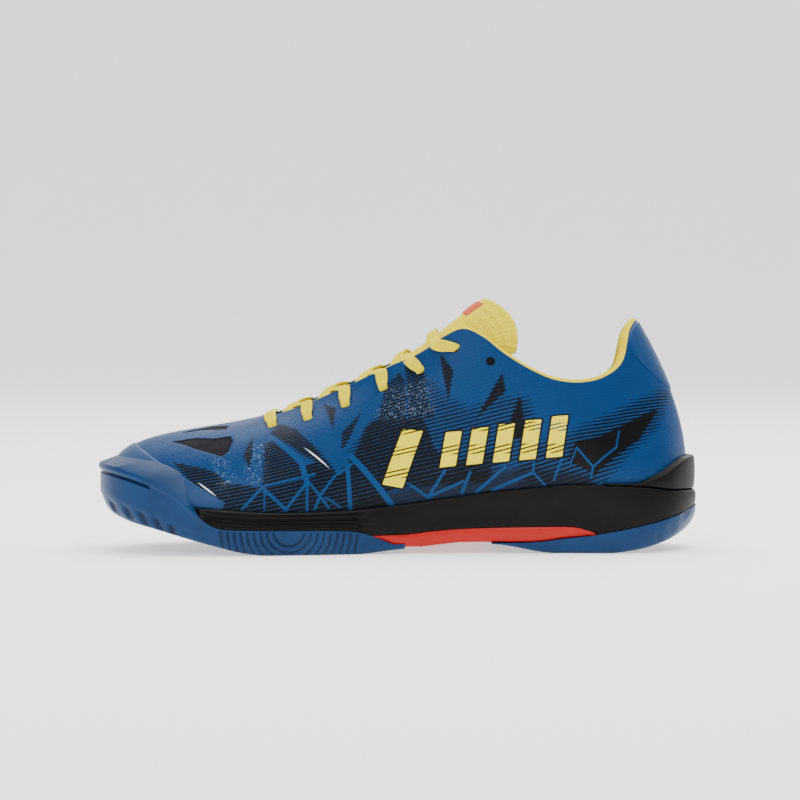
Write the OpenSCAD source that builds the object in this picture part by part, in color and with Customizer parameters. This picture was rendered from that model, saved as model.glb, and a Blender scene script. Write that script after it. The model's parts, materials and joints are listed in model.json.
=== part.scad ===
// Right-foot indoor court shoe, laced, standing on its outsole.
// +Z is up, the toe points to -X, the inner (medial) side faces -Y and the origin is on the
// floor under the middle of the shoe's box. All lengths are in millimetres.

/* [Shoe] */
// Length of the sole from the toe wrap to the heel
shoe_len = 296; // [270:1:320]
// Width of the sole across the ball of the foot
shoe_w = 106; // [98:1:112]

/* [Sole unit] */
// Thickness of the rubber tread plate
tread_t = 4.5; // [4:0.1:5]
// Thickness of the rubber where it wraps up the side of the midsole
wrap_t = 3; // [2.4:0.1:3.2]
// Thickness of the moulded midfoot shank plate
shank_t = 2.6; // [2:0.1:3]
// Thickness of the sewn lasting board
board_t = 1.5; // [1:0.1:2]
// Thickness of the loose sockliner
liner_t = 4.5; // [3.5:0.1:5.5]
// Depth of the gel pads
gel_t = 5; // [3:0.5:5]

/* [Upper] */
// Thickness of the printed outer skin
skin_t = 1.2; // [0.9:0.1:1.2]
// Thickness of the overlays: toe guard and heel tab
overlay_t = 0.8; // [0.5:0.1:1]
// Thickness of the hidden stiffeners: toe puff and heel counter
stiffener_t = 1.1; // [0.7:0.1:1.2]
// Greatest thickness of the foam in the collar
foam_t = 6.5; // [4:0.5:7]
// Radius of the punched eyelets
eyelet_r = 2.2; // [1.8:0.1:2.4]

/* [Lace] */
// Width of the flat lace
lace_w = 6; // [5:0.1:6.5]
// Thickness of the flat lace
lace_t = 1.4; // [1:0.1:1.6]

/* [Hidden] */

kx = shoe_len / 296;
ky = shoe_w / 106;
fit = 0.1;          // gap between bonded layers
rim_gap = 0.7;      // gap between the upper and the rim of the midsole
rib_step = 0.5;     // spacing of the lofted sections, in stations
last_rib = 24;      // stations round the shoe: 0 toe, 12 heel, medial side first

// ---- driving outlines: each row is a station from the toe (0) to the heel (12) ----

// sole edge: x, medial y, lateral y
SOLE_EDGE = [[-148, -7, -7], [-143.5, -26, 11], [-132, -39.5, 26.5], [-113, -48.5, 38.5],
             [-88, -53, 47.5], [-60, -52.5, 52.3], [-28, -46.5, 53], [6, -39.5, 48.5],
             [42, -36.5, 43.5], [78, -37.5, 41.5], [110, -38.5, 39.5], [136, -28, 28],
             [148, 0, 0]];
// top edge of the skin at half stations: x, half width, z
TOP_EDGE = [[-69, 0, 65.6], [-68.5, 5, 65.7], [-67, 9.5, 66], [-63.5, 12.8, 66.6],
            [-58, 14.6, 68], [-51.5, 15.8, 70.2], [-44.5, 16.8, 73], [-37, 17.8, 76],
            [-29, 18.8, 79.5], [-20.5, 19.8, 83.5], [-12, 20.8, 87.5], [-3, 22, 91.6],
            [6, 23.3, 95.2], [14.5, 24.8, 100], [23, 26.3, 106], [32, 27.8, 109.4],
            [41.5, 29.3, 105.4], [51.5, 30.6, 97.6], [63, 31.4, 90.4], [76, 31.4, 84.7],
            [89.5, 29.8, 83.2], [101.5, 26.4, 86], [110.4, 20.6, 93.3], [114.4, 11.2, 108],
            [118.3, 0, 113.4]];
// fullness of each rib: rise and flare at the foot, reach and drop at the top edge
FULLNESS = [[31, 4.5, 41, 9.4], [27, 3, 34, 11], [26, 3.5, 22, 12], [26, 4, 16, 13],
            [26, 4, 14, 17], [26, 4, 12, 21], [26, 4, 10, 25], [27, 4.5, 8, 28],
            [28, 5, 6, 28], [25, 6, 4.5, 26], [24, 7, 4, 24], [26, 7, 5, 26],
            [32, 6, 13, 22]];
// heights along the length: x, z
GROUND = [[-148, 27], [-145, 22.5], [-140, 18.8], [-130, 15], [-118, 12], [-104, 8.2],
          [-90, 4.6], [-78, 1.6], [-66, 0], [-60, 0], [0, 0], [8, 0.4], [20, 2.6],
          [32, 4.3], [45, 4.6], [56, 3.2], [66, 1.2], [76, 0], [104, 0], [114, 1],
          [124, 3], [133, 6.2], [140, 10.5], [145, 16], [148, 21]];
RUBBER_TOP = [[-148, 43.5], [-140, 42.5], [-130, 40], [-120, 36.5], [-110, 31.5],
              [-104, 26.5], [-99, 21.5], [-94, 16.6], [-89, 13.8], [-82, 12.7],
              [-60, 12.3], [-26, 11.7], [-18, 10.6], [-12, 8.8], [-5, 5.8], [3, 3.4],
              [40, 5], [55, 5.2], [67, 5.6], [80, 7.2], [95, 9], [110, 11.6],
              [120, 13.6], [130, 16], [140, 19], [148, 22]];
SHANK_TOP = [[-12, 9.2], [-5, 9.3], [5, 9.6], [15, 10.8], [30, 12], [50, 12.6],
             [70, 13], [85, 13], [92, 11.6], [98, 9.4]];
SHANK_LOW = [[-12, 8.4], [-5, 5.8], [0, 3.6], [6, 3], [20, 4.4], [30, 5.4], [60, 5.5],
             [70, 5.9], [80, 7.4], [98, 9.2]];
MIDSOLE_TOP = [[-148, 33], [-120, 27], [-104, 23.6], [-98, 22.9], [-90, 22.7], [-80, 22],
               [-65, 21.1], [-45, 21.1], [-25, 21.7], [-8, 23], [10, 25.2], [30, 28],
               [50, 30.6], [70, 32.6], [85, 33.9], [100, 33.6], [120, 32.6],
               [135, 30.7], [148, 29.8]];
FOOTBED = [[-148, 30.5], [-142, 28.6], [-136, 25.6], [-128, 22], [-110, 17.5], [-90, 14.5],
           [-70, 13], [-40, 13.2], [-10, 15.5], [20, 18.5], [50, 21.5], [80, 23.5],
           [110, 24.5], [148, 25.5]];
CRADLE_TOP = [[96, 34.2], [118, 34.6], [125, 36.8], [132, 39.6], [139, 43.4], [144, 46], [148, 46.6]];
// how far the tread's edge is rounded in from the wall
EDGE_ROUND = [[-148, 10], [-130, 8], [-100, 5], [-70, 3.5], [60, 3.5], [110, 5], [135, 8], [148, 10]];
// how far the upper's lower edge lies inside the sole edge
INSET = [[-148, 5.4], [-60, 5], [80, 5.2], [148, 6]];
// crown of the tongue in side view, at equal steps from the vamp to the top: x, z
TONGUE_CROWN = [[-76, 59.6], [-62, 64.6], [-46, 71.8], [-30, 78.8], [-14, 86], [0, 93.6],
                [12, 101.4], [22.5, 109.2], [32.5, 117.4], [41.5, 124]];
// tongue section at the same steps: half width, depth of the arch, thickness
TONGUE_SECTION = [[15, 5, 2.4], [17, 9, 2.6], [18.5, 13, 2.8], [20, 15, 3], [21, 16, 3.2],
                  [22, 17.5, 3.6], [22.6, 20.5, 4.4], [23, 25.5, 6], [23.2, 31.5, 7], [21.5, 37, 5.5]];
TONGUE_STEPS = len(TONGUE_CROWN) - 1;
fold_at = 6.8;                  // the tongue bends here, above the top lace
// eyelets on the medial side: x, z
EYELETS = [[-62, 62.4], [-44.5, 66.2], [-26, 72.8], [-7.5, 81], [10.5, 89.6], [27.5, 100.4], [45, 94]];
laced = 6;                      // eyelet pairs in use, counted from the toe
// how far in front of its eyelet each strand comes over the edge
LEAD = [0.5, 0.5, 0.5, 1, 5, 9];
// the medial tail, from inside the top eyelet down to the aglet on the sockliner
TAIL = [[25.5, -24.6, 93], [23, -24.6, 84], [19, -25, 74], [13, -26, 64], [6, -27, 54],
        [-2, -27, 45], [-11, -26, 36.5], [-22, -25, 29.5], [-35, -24, 24.5], [-49, -21, 21.6],
        [-63, -16, 20.4]];
AGLET = [-84, -7, 21.4];        // far end of the medial aglet

// ---- interpolation ----
function cat(a, b, c, d, t) =
    0.5 * (2*b + (c - a)*t + (2*a - 5*b + 4*c - d)*t*t + (3*b - a - 3*c + d)*t*t*t);
function loop_at(p, u) =
    let (n = len(p), w = ((u % n) + n) % n, i = floor(w))
    cat(p[(i + n - 1) % n], p[i], p[(i + 1) % n], p[(i + 2) % n], w - i);
function line_at(p, u) =
    let (n = len(p) - 1, i = min(floor(u), n - 1))
    cat(p[max(i - 1, 0)], p[i], p[i + 1], p[min(i + 2, n)], u - i);
function gap_of(t, x, i = 0) = i >= len(t) - 2 || x < t[i + 1][0] ? i : gap_of(t, x, i + 1);
function slope_of(t, i) =
    let (a = max(i - 1, 0), b = min(i + 1, len(t) - 1)) (t[b][1] - t[a][1]) / (t[b][0] - t[a][0]);
function curve(t, x) =
    let (q = min(max(x, t[0][0]), t[len(t) - 1][0]), i = gap_of(t, q), h = t[i + 1][0] - t[i][0],
         w = (q - t[i][0]) / h)
    (2*w*w*w - 3*w*w + 1) * t[i][1] + (w*w*w - 2*w*w + w) * h * slope_of(t, i)
    + (3*w*w - 2*w*w*w) * t[i + 1][1] + (w*w*w - w*w) * h * slope_of(t, i + 1);
function ramp(a, b, x) = let (w = min(max((x - a) / (b - a), 0), 1)) w * w * (3 - 2*w);
function unit(v) = v / norm(v);

// ---- the sole edge and the ribs of the upper ----
EDGE_LOOP = concat([for (r = SOLE_EDGE) [r[0]*kx, r[1]*ky]],
                   [for (k = [11:-1:1]) [SOLE_EDGE[k][0]*kx, SOLE_EDGE[k][2]*ky]]);
lateral_drop = 3;   // the collar is this much lower on the outer side of the ankle
function drop(k) = lateral_drop * ramp(14, 18, k) * (1 - ramp(21, 24, k));
TOP_LOOP = concat([for (r = TOP_EDGE) [r[0]*kx, -r[1]*ky, r[2]]],
                  [for (k = [23:-1:1]) [TOP_EDGE[k][0]*kx, TOP_EDGE[k][1]*ky, TOP_EDGE[k][2] - drop(k)]]);
FULL_LOOP = concat(FULLNESS, [for (k = [11:-1:1]) FULLNESS[k]]);

function edge(s) = loop_at(EDGE_LOOP, s);
function outward(s) = let (t = edge(s + 0.02) - edge(s - 0.02)) unit([t[1], -t[0]]);
function high(t, s) = curve(t, edge(s)[0] / kx);
// a point beside the sole edge, off outwards of it and at height z
function beside(s, off, z) = let (e = edge(s) + outward(s) * off) [e[0], e[1], z];
// the same, at the height that a table gives right there
function on(t, s, off, rise = 0) =
    let (e = edge(s) + outward(s) * off) [e[0], e[1], curve(t, e[0] / kx) + rise];
function ground(s, off) = max(0, on(GROUND, s, off)[2]);

function rib(s, v) =
    let (o = outward(s), n = [o[0], o[1], 0], f = on(FOOTBED, s, -high(INSET, s)),
         t = loop_at(TOP_LOOP, 2*s), k = loop_at(FULL_LOOP, s), w = 1 - v)
    w*w*w*f + 3*w*w*v*(f + n*k[1] + [0, 0, k[0]]) + 3*w*v*v*(t + n*k[2] - [0, 0, k[3]]) + v*v*v*t;
function rib_normal(s, v) =
    let (h = 0.02, a = max(v - h, 0), b = min(v + h, 1))
    unit(cross(rib(s + h, v) - rib(s - h, v), rib(s, b) - rib(s, a)));
// a point of the upper, off outwards of the skin
function skin(s, v, off = 0) = rib(s, v) + rib_normal(s, v) * off;
// the place on a rib at height z
function v_at(s, z, a = 0, b = 1, n = 12) =
    n == 0 ? (a + b) / 2 :
    let (m = (a + b) / 2) rib(s, m)[2] < z ? v_at(s, z, m, b, n - 1) : v_at(s, z, a, m, n - 1);

// ---- solids lofted through rings; a ring is a path out and the same number of points back ----
// A pinched end is where the medial and the lateral half of a ring meet, at the toe or the heel.
module loft(rings, closed = false, pinched = []) {
    n = len(rings);
    m = len(rings[0]);
    links = closed ? n : n - 1;
    ends = closed ? [] : [for (e = [0, n - 1]) if (len(search(e, pinched)) == 0) e];
    at = function (i, j) let (q = m/4, e = i % n, k = j % m) e*m +
        (len(search(e, pinched)) == 0 ? k : k < q ? k : k < 2*q ? 2*q - 1 - k : k < 3*q ? k : 6*q - 1 - k);
    sides = [for (i = [0 : links - 1], j = [0 : m - 1])
             each [[at(i, j), at(i, j + 1), at(i + 1, j + 1)], [at(i, j), at(i + 1, j + 1), at(i + 1, j)]]];
    caps = [for (j = [0 : m/2 - 2], e = ends)
            let (a = e*m + j, b = a + 1, c = e*m + m - 2 - j, d = c + 1)
            each e == 0 ? [[a, c, b], [a, d, c]] : [[a, b, c], [a, c, d]]];
    faces = [for (f = concat(sides, caps)) if (f[0] != f[1] && f[1] != f[2] && f[2] != f[0]) f];
    polyhedron([for (r = rings) each r], faces, convexity = 10);
}
function back(p) = [for (i = [len(p) - 1 : -1 : 0]) p[i]];
function steps(a, b, n) = [for (i = [0 : n]) a + (b - a) * i / n];
function stations(a, b) = steps(a, b, max(1, round((b - a) / rib_step)));
// a layer of the upper between two offsets, over stations and over the given places on each rib
module layer(ss, vs, out, in, closed = false)
    loft([for (s = ss) concat([for (v = vs(s)) skin(s, v, out(s, v))],
                              back([for (v = vs(s)) skin(s, v, in(s, v))]))], closed);
// a solid with a medial and a lateral side: out and in give, for a station, paths from the top
// down, the same number of points each
function both(s, out, in) =
    let (l = last_rib - s) concat(out(l), back(out(s)), in(s), back(in(l)));

// ---- sole unit ----
fore_end = 6.92;                // last station of the forefoot rubber
heel_from = 8.1;                // first station of the heel rubber
function floor_of(s, off) = min(ground(s, off) + tread_t, high(RUBBER_TOP, s));
function rubber(s) =
    both(s, function (q) let (e = high(EDGE_ROUND, q), g = ground(q, -e), t = high(RUBBER_TOP, q))
                [beside(q, 0, t), beside(q, 0, min(g + e*1.4, t - 0.4)),
                 beside(q, -e*0.35, min(g + e*0.45, t - 0.8)), beside(q, -e, g)],
            function (q) let (e = high(EDGE_ROUND, q), t = high(RUBBER_TOP, q), a = -wrap_t - e*0.5,
                              b = -wrap_t - e, c = min(ground(q, -e) + e*1.4, t - 0.4))
                [beside(q, -wrap_t, t), beside(q, -wrap_t - 0.4, max(c, floor_of(q, a))),
                 beside(q, a, floor_of(q, a)), beside(q, b, floor_of(q, b))]);
module outsole_forefoot() color("#0a5ba8") loft([for (s = stations(0, fore_end)) rubber(s)], pinched = [0]);
heel_stations = stations(heel_from, 12);
module outsole_heel() color("#0a5ba8")
    loft([for (s = heel_stations) rubber(s)], pinched = [len(heel_stations) - 1]);

shank_from = 6.45;
shank_to = 9.55;
module midfoot_shank() color("#f2420c")
    loft([for (s = stations(shank_from, shank_to))
          both(s, function (q) let (b = shank_low(q), t = max(high(SHANK_TOP, q), b + 0.8))
                      [beside(q, -0.4, t), beside(q, -0.4, b + 0.3), beside(q, -7, b)],
                  function (q) let (b = shank_low(q), t = max(high(SHANK_TOP, q), b + 0.8))
                      [beside(q, -0.4 - shank_t, t), beside(q, -1 - shank_t, b + shank_t),
                       beside(q, -8, b + shank_t)])]);
// the plate lies on the ends of the two rubber pieces
function shank_low(s) = let (d = min(s, last_rib - s))
    max(high(SHANK_LOW, s), d < fore_end + 0.2 || d > heel_from - 0.2 ? floor_of(s, -7) + fit : 0);

function shank_here(s) = let (d = min(s, last_rib - s)) d > shank_from - 0.2 && d < shank_to + 0.2;
function under_mid(s, off) =
    shank_here(s) ? shank_low(s) + shank_t + fit : floor_of(s, off) + fit;
function midsole_side(s) =
    let (t = high(MIDSOLE_TOP, s), r = high(RUBBER_TOP, s), side = -wrap_t - 0.4,
         wide = shank_here(s) ? 0 : side * ramp(-4, -1.5, r - t), e = high(EDGE_ROUND, s),
         ledge = min((shank_here(s) ? high(SHANK_TOP, s) : r) + 0.3, t - 0.6),
         a = side - e*0.2, b = side - e*0.7)
    [beside(s, wide - 0.8, t), beside(s, wide, (t + ledge) / 2), beside(s, wide - 0.5, ledge),
     beside(s, side, ledge - 0.05), beside(s, a, min(under_mid(s, a) + 0.6, ledge - 0.1)),
     beside(s, b, under_mid(s, b))];
function midsole_tray(s) =
    let (v = v_at(s, high(MIDSOLE_TOP, s)), i = high(INSET, s))
    concat([skin(s, v, rim_gap), skin(s, v*0.5, rim_gap), on(FOOTBED, s, rim_gap - i, -0.05)],
           [for (d = [6, 12, 16]) on(FOOTBED, s, -i - d, -0.1)]);
module gel_shape(l, w, h) linear_extrude(h) hull() for (x = [-1, 1]) translate([x*(l - w)/2, 0])
    circle(d = w, $fn = 32);
gel_under = 6.2;                // depth of the gel pockets below the footbed
heel_gel = [98*kx, 0, curve(FOOTBED, 98) - gel_under];
fore_gel = [-58*kx, 2, curve(FOOTBED, -58) - gel_under];
pocket_open = 20;               // the cut reaches well above the footbed
module midsole() color("#231f1c") difference() {
    loft([for (s = stations(0, 12)) both(s, function (q) midsole_side(q), function (q) midsole_tray(q))],
         pinched = [0, 12 / rib_step]);
    translate(heel_gel) gel_shape(46, 34, pocket_open);
    translate(fore_gel) rotate(90) gel_shape(48, 22, pocket_open);
}
module gel_pad_heel() color("#9fb7c9") translate(heel_gel + [0, 0, fit]) gel_shape(45.4, 33.4, gel_t);
module gel_pad_forefoot() color("#9fb7c9")
    translate(fore_gel + [0, 0, fit]) rotate(90) gel_shape(47.4, 21.4, gel_t);

cradle_from = 9.7;
function cradle_ring(s) =
    let (b = high(MIDSOLE_TOP, s) + 0.3, t = max(high(CRADLE_TOP, s), b + 0.6))
    concat([beside(s, -0.9, b), beside(s, -0.9, (t + b) / 2), beside(s, -1.2, t)],
           [skin(s, v_at(s, t), rim_gap), skin(s, v_at(s, (t + b) / 2), rim_gap),
            skin(s, v_at(s, b), rim_gap)]);
module heel_cradle() color("#231f1c")
    loft([for (s = stations(cradle_from, last_rib - cradle_from)) cradle_ring(s)]);

module slab(inset, z0, z1) loft([for (s = stations(0, 12))
    both(s, function (q) [on(FOOTBED, q, -high(INSET, q) - inset, z0)],
            function (q) [on(FOOTBED, q, -high(INSET, q) - inset, z1)])],
    pinched = [0, 12 / rib_step]);
module lasting_board() color("#e8e6df") slab(2.9, 0.1, 0.1 + board_t);
module sockliner() color("#1b1b1d") slab(5.4, 0.2 + board_t, 0.2 + board_t + liner_t);

// ---- upper ----
function even(a, b, n) = function (s) steps(a, b, n);
function flat(d) = function (s, v) d;
eyelet_deep = 12;               // long enough to pass through every layer
// punches a hole through the upper at each eyelet of one side
module eyelet_cut(side) for (e = EYELETS) {
    s = eyelet_station(e, side);
    v = v_at(s, e[1]);
    p = skin(s, v);
    n = rib_normal(s, v);
    translate(p) rotate([0, acos(n[2]), atan2(n[1], n[0])])
        cylinder(r = eyelet_r, h = eyelet_deep, center = true, $fn = 24);
}
// the station whose rib passes through x and z
function eyelet_station(e, side, a = 0.4, b = 9.5, n = 14) =
    let (m = (a + b) / 2, q = side < 0 ? m : last_rib - m)
    n == 0 ? q :
    rib(q, v_at(q, e[1]))[0] < e[0]*kx ? eyelet_station(e, side, m, b, n - 1)
                                       : eyelet_station(e, side, a, m, n - 1);
all_round = [for (i = [0 : round(last_rib / rib_step) - 1]) i * rib_step];
// lace holes through whatever layer it is given
module punched() difference() {
    children();
    eyelet_cut(-1);
    eyelet_cut(1);
}
module upper_skin() color("#0f63ad")
    punched() layer(all_round, even(0, 1, 9), flat(0), flat(-skin_t), closed = true);

under_skin = -skin_t - fit;
stiff_in = under_skin - stiffener_t;
lining_out = stiff_in - fit;
lining_t = 0.7;
module vamp_mesh() color("#1c1d26")
    layer(stations(-2.5, 2.5), even(0.46, 0.9, 5), flat(under_skin), flat(under_skin - 0.5));
module toe_puff() color("#d9d4c4")
    layer(stations(-3, 3), even(0.04, 0.43, 4), flat(under_skin), flat(stiff_in));
module vamp_lining() color("#20242c")
    punched() layer(stations(-lining_from + fit, lining_from - fit), even(0.03, 0.985, 7),
                    flat(lining_out), flat(lining_out - lining_t));
stay_from = 1.5;
stay_to = 8.5;
function stay_low(s) =
    let (d = min(s, last_rib - s)) 0.79 + 0.05*ramp(7.2, 8.7, d) - 0.07*(1 - ramp(1.4, 5, d));
module eyestay(s0, s1) punched()
    layer(stations(s0, s1), function (s) steps(stay_low(s), 0.985, 2), flat(under_skin), flat(stiff_in));
module eyestay_medial() color("#123a63") eyestay(stay_from, stay_to);
module eyestay_lateral() color("#123a63") eyestay(last_rib - stay_to, last_rib - stay_from);
module heel_counter() color("#cfc9b8")
    layer(stations(9, 15), even(0.04, 0.56, 4), flat(under_skin), flat(stiff_in));

// the guard ends on a slanting line from the top of the toe down to the side of the ball
guard_x = -130;
guard_z = 52.3;
guard_fall = 0.58;
function guard_v(s, a = 0, b = 1, n = 10) =
    let (m = (a + b) / 2, p = rib(s, m))
    n == 0 ? m : p[2] + guard_fall*(p[0]/kx - guard_x) < guard_z ? guard_v(s, m, b, n - 1)
                                                                : guard_v(s, a, m, n - 1);
module toe_guard() color("#1268b8")
    layer(stations(-4, 4), function (s) steps(0.1, max(guard_v(s), 0.14), 5),
          flat(fit + overlay_t), flat(fit));
tab_from = 11.3;
function tab_v(s) = let (d = min(abs(s - 12) / (12 - tab_from), 1)) 0.58 + 0.4 * d * d;
module heel_tab() color("#0e5fa9")
    layer(steps(tab_from, last_rib - tab_from, 4), function (s) steps(tab_v(s), 1, 3),
          flat(fit + overlay_t), flat(fit));

// the collar is padded from the top eyelets round the heel; the foam swells below the top edge
lining_from = 7;
pad_from = 7.8;
foam_from = 8.5;
function pad(s, v) =
    let (d = min(s, last_rib - s))
    foam_t * ramp(pad_from, 9.6, d) * (0.75 + 0.45*ramp(10.2, 11.2, d)) * ramp(0.3, 0.78, v)
    * (1 - 0.72*ramp(0.86, 1, v));
module collar_foam() color("#e9e36a")
    layer(stations(foam_from, last_rib - foam_from), even(0.42, 0.95, 5),
          flat(lining_out), function (s, v) lining_out - 0.4 - pad(s, v));
roll = 1.9;                      // the lining stands this far above the skin's edge
function lining_ring(s) =
    let (vs = [0.03, 0.2, 0.4, 0.52, 0.64, 0.76, 0.88, 0.96], o = lining_out - 0.5,
         up = unit(rib(s, 1) - rib(s, 0.97)), t = lining_t, e = skin(s, 1, under_skin))
    concat([for (v = vs) skin(s, v, o - pad(s, v))], [e, e + up*fit, skin(s, 1, -0.2) + up*0.4],
           back(concat([for (v = vs) skin(s, v, o - t - pad(s, v))],
                       [skin(s, 1, o - t - pad(s, 1)), skin(s, 1, o - t - 1) + up*roll*0.8,
                        skin(s, 1, -0.9) + up*roll])));
module collar_lining() color("#f2ea1f")
    punched() loft([for (s = stations(lining_from, last_rib - lining_from)) lining_ring(s)]);

// ---- tongue ----
function crown(u) = line_at(TONGUE_CROWN, u);
function across(u) = line_at(TONGUE_SECTION, u);
sweep = 80;                      // half angle of the arch
function tongue_at(u, w, deep) =
    let (c = crown(u), q = crown(min(u + 0.05, TONGUE_STEPS)) - crown(max(u - 0.05, 0)), t = unit(q),
         k = across(u), a = w*sweep, h = k[1] - deep, r = k[0] - deep)
    [kx*(c[0] + t[1]*(deep + h*(1 - cos(a)))), ky*r*sin(a), c[1] - t[0]*(deep + h*(1 - cos(a)))];
function tongue_ring(u) =
    let (ws = steps(-1, 1, 12))
    concat([for (w = ws) tongue_at(u, w, 0)],
           back([for (w = ws) tongue_at(u, w, across(u)[2]*(1 - 0.35*w*w))]));
fold_gap = 0.03;                // half the slit between the two parts of the tongue
module tongue_lower() color("#e4dd17")
    loft([for (u = steps(0, fold_at - fold_gap, 14)) tongue_ring(u)]);
module tongue_end() color("#f4ec1c")
    loft([for (u = steps(fold_at + fold_gap, TONGUE_STEPS, 8)) tongue_ring(u)]);
label_w = 0.34;                 // half the label's width, as a share of half the arch
label_from = 7.9;
label_to = 8.6;
label_t = 0.6;
module tongue_label() color("#f0907a")
    loft([for (u = steps(label_from, label_to, 4)) let (ws = steps(-label_w, label_w, 6))
          concat([for (w = ws) tongue_at(u, w, -label_t)],
                 back([for (w = ws) tongue_at(u, w, -fit)]))]);

// ---- lace ----
aglet_r = 1.5;
// the station at which the top edge passes x
function edge_station(x, side, a = 0.4, b = 9.5, n = 14) =
    let (m = (a + b) / 2, q = side < 0 ? m : last_rib - m)
    n == 0 ? q : rib(q, 1)[0] < x*kx ? edge_station(x, side, m, b, n - 1)
                                     : edge_station(x, side, a, m, n - 1);
lace_over = lace_t/2 + 0.4;      // from the skin to the middle of a strand that lies on it
lace_under = lining_out - lining_t - lace_over;
strand_gap = 0.4;
function crown_dir(x) =
    let (h = 2) unit([2*h, 0, curve(TONGUE_CROWN, x + h) - curve(TONGUE_CROWN, x - h)]);
// over the edge, on the skin above the eyelet, below it, and out under the edge
function through(k, side) =
    let (e = EYELETS[k], s = eyelet_station(e, side), v = v_at(s, e[1]), back_by = 3)
    [skin(edge_station(e[0] - LEAD[k], side), 0.985, lace_over), skin(s, v, lace_over),
     skin(s, v, lace_under), skin(edge_station(e[0] + back_by, side), 0.985, lace_under)];
THROUGH = [for (side = [-1, 1]) [for (k = [0 : laced - 1]) through(k, side)]];
// two strands cross on the tongue between each row and the next
function crossing(k, over) =
    let (a = THROUGH[0][k][3], b = THROUGH[0][k + 1][0], x = (a[0] + b[0]) / 2 / kx)
    [x*kx, 0, curve(TONGUE_CROWN, x) + lace_over + (over ? lace_t + strand_gap : 0)];
// one strand from the first row up, starting on side 0 (medial) or 1 (lateral)
function strand(from) = [for (k = [0 : laced - 1])
    let (here = (from + k) % 2, t = THROUGH[here][k])
    each k == 0 ? [t[0], t[1], t[2], t[3], crossing(0, from == 0)]
       : k < laced - 1 ? [t[0], t[1], t[2], t[3], crossing(k, (k + from) % 2 == 0)]
       : [t[0], t[1], t[2]]];
function mirrored(p) = [p[0], -p[1], p[2]];
bar_rise = 3.2;
LACE = concat(back(TAIL), back(strand(1)), [[kx*(EYELETS[0][0] - LEAD[0]), 0,
              curve(TONGUE_CROWN, EYELETS[0][0]) + bar_rise]], strand(0), [for (p = TAIL) mirrored(p)]);
function lace_ring(i) =
    let (n = len(LACE) - 1, p = LACE[i], t = unit(LACE[min(i + 1, n)] - LACE[max(i - 1, 0)]),
         tail = min(i, n - i) < len(TAIL),
         hint = tail ? [1, 0.25*sign(p[1]), 0] : crown_dir(p[0]/kx),
         w = unit(hint - t*(hint*t)), u = cross(t, w),
         half_w = i == 0 || i == n ? aglet_r*0.7 : lace_w/2)
    [for (a = [337.5 : -45 : 0]) p + w*half_w*cos(a) + u*lace_t/2*sin(a)];
module lace() color("#f6ee2e") loft([for (i = [0 : len(LACE) - 1]) lace_ring(i)]);
module aglet(from, to) {
    d = to - from;
    translate(from) rotate([0, acos(d[2] / norm(d)), atan2(d[1], d[0])])
        cylinder(r = aglet_r, h = norm(d), $fn = 24);
}
module aglets() color("#e6e6dc") {
    aglet(TAIL[len(TAIL) - 1], AGLET);
    aglet(mirrored(TAIL[len(TAIL) - 1]), mirrored(AGLET));
}

outsole_forefoot();
outsole_heel();
midfoot_shank();
midsole();
heel_cradle();
gel_pad_heel();
gel_pad_forefoot();
lasting_board();
sockliner();
upper_skin();
vamp_mesh();
vamp_lining();
toe_puff();
toe_guard();
eyestay_medial();
eyestay_lateral();
heel_counter();
heel_tab();
collar_foam();
collar_lining();
tongue_lower();
tongue_end();
tongue_label();
lace();
aglets();
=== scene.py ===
import json
import math
import bmesh
import bpy
import numpy as np
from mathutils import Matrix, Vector

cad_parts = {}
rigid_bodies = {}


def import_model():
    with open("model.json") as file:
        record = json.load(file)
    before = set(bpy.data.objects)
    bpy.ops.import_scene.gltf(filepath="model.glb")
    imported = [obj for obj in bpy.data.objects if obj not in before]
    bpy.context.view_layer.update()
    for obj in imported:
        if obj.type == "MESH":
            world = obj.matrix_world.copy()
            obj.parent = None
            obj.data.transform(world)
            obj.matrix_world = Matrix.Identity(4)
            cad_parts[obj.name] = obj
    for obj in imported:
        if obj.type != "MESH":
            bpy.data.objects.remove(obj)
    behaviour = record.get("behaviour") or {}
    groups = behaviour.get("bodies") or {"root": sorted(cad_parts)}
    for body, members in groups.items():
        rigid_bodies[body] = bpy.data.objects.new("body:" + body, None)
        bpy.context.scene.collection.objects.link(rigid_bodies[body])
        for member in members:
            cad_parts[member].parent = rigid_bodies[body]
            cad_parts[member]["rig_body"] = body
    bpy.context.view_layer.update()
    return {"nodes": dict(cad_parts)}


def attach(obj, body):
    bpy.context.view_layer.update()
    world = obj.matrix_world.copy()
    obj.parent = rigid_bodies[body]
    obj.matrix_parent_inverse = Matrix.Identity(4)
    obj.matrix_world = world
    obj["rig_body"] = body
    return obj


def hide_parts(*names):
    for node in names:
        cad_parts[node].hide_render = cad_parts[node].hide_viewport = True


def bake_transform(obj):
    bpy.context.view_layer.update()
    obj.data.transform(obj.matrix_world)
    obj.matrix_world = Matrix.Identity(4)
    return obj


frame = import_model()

# ---------------------------------------------------------------- camera
# A long lens looks square at the inner side of the shoe, a little above it, as for a catalogue.
# The shoe takes up three quarters of the picture's width and stands a little below its middle.
MM = 0.001
aim = Vector((0.0007, -0.02, 0.0745))
distance = 1.9
elevation = math.radians(2.5)
picture_width = 0.394
camera = bpy.data.objects.new("camera", bpy.data.cameras.new("camera"))
bpy.context.collection.objects.link(camera)
to_camera = Vector((0, -math.cos(elevation), math.sin(elevation)))
camera.location = aim + to_camera * distance
camera.rotation_mode = "QUATERNION"
camera.rotation_quaternion = (-to_camera).to_track_quat("-Z", "Y")
camera.data.sensor_width = 36
camera.data.lens = camera.data.sensor_width * distance / picture_width
camera.data.clip_start, camera.data.clip_end = 0.05, 20
bpy.context.scene.camera = camera


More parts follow.
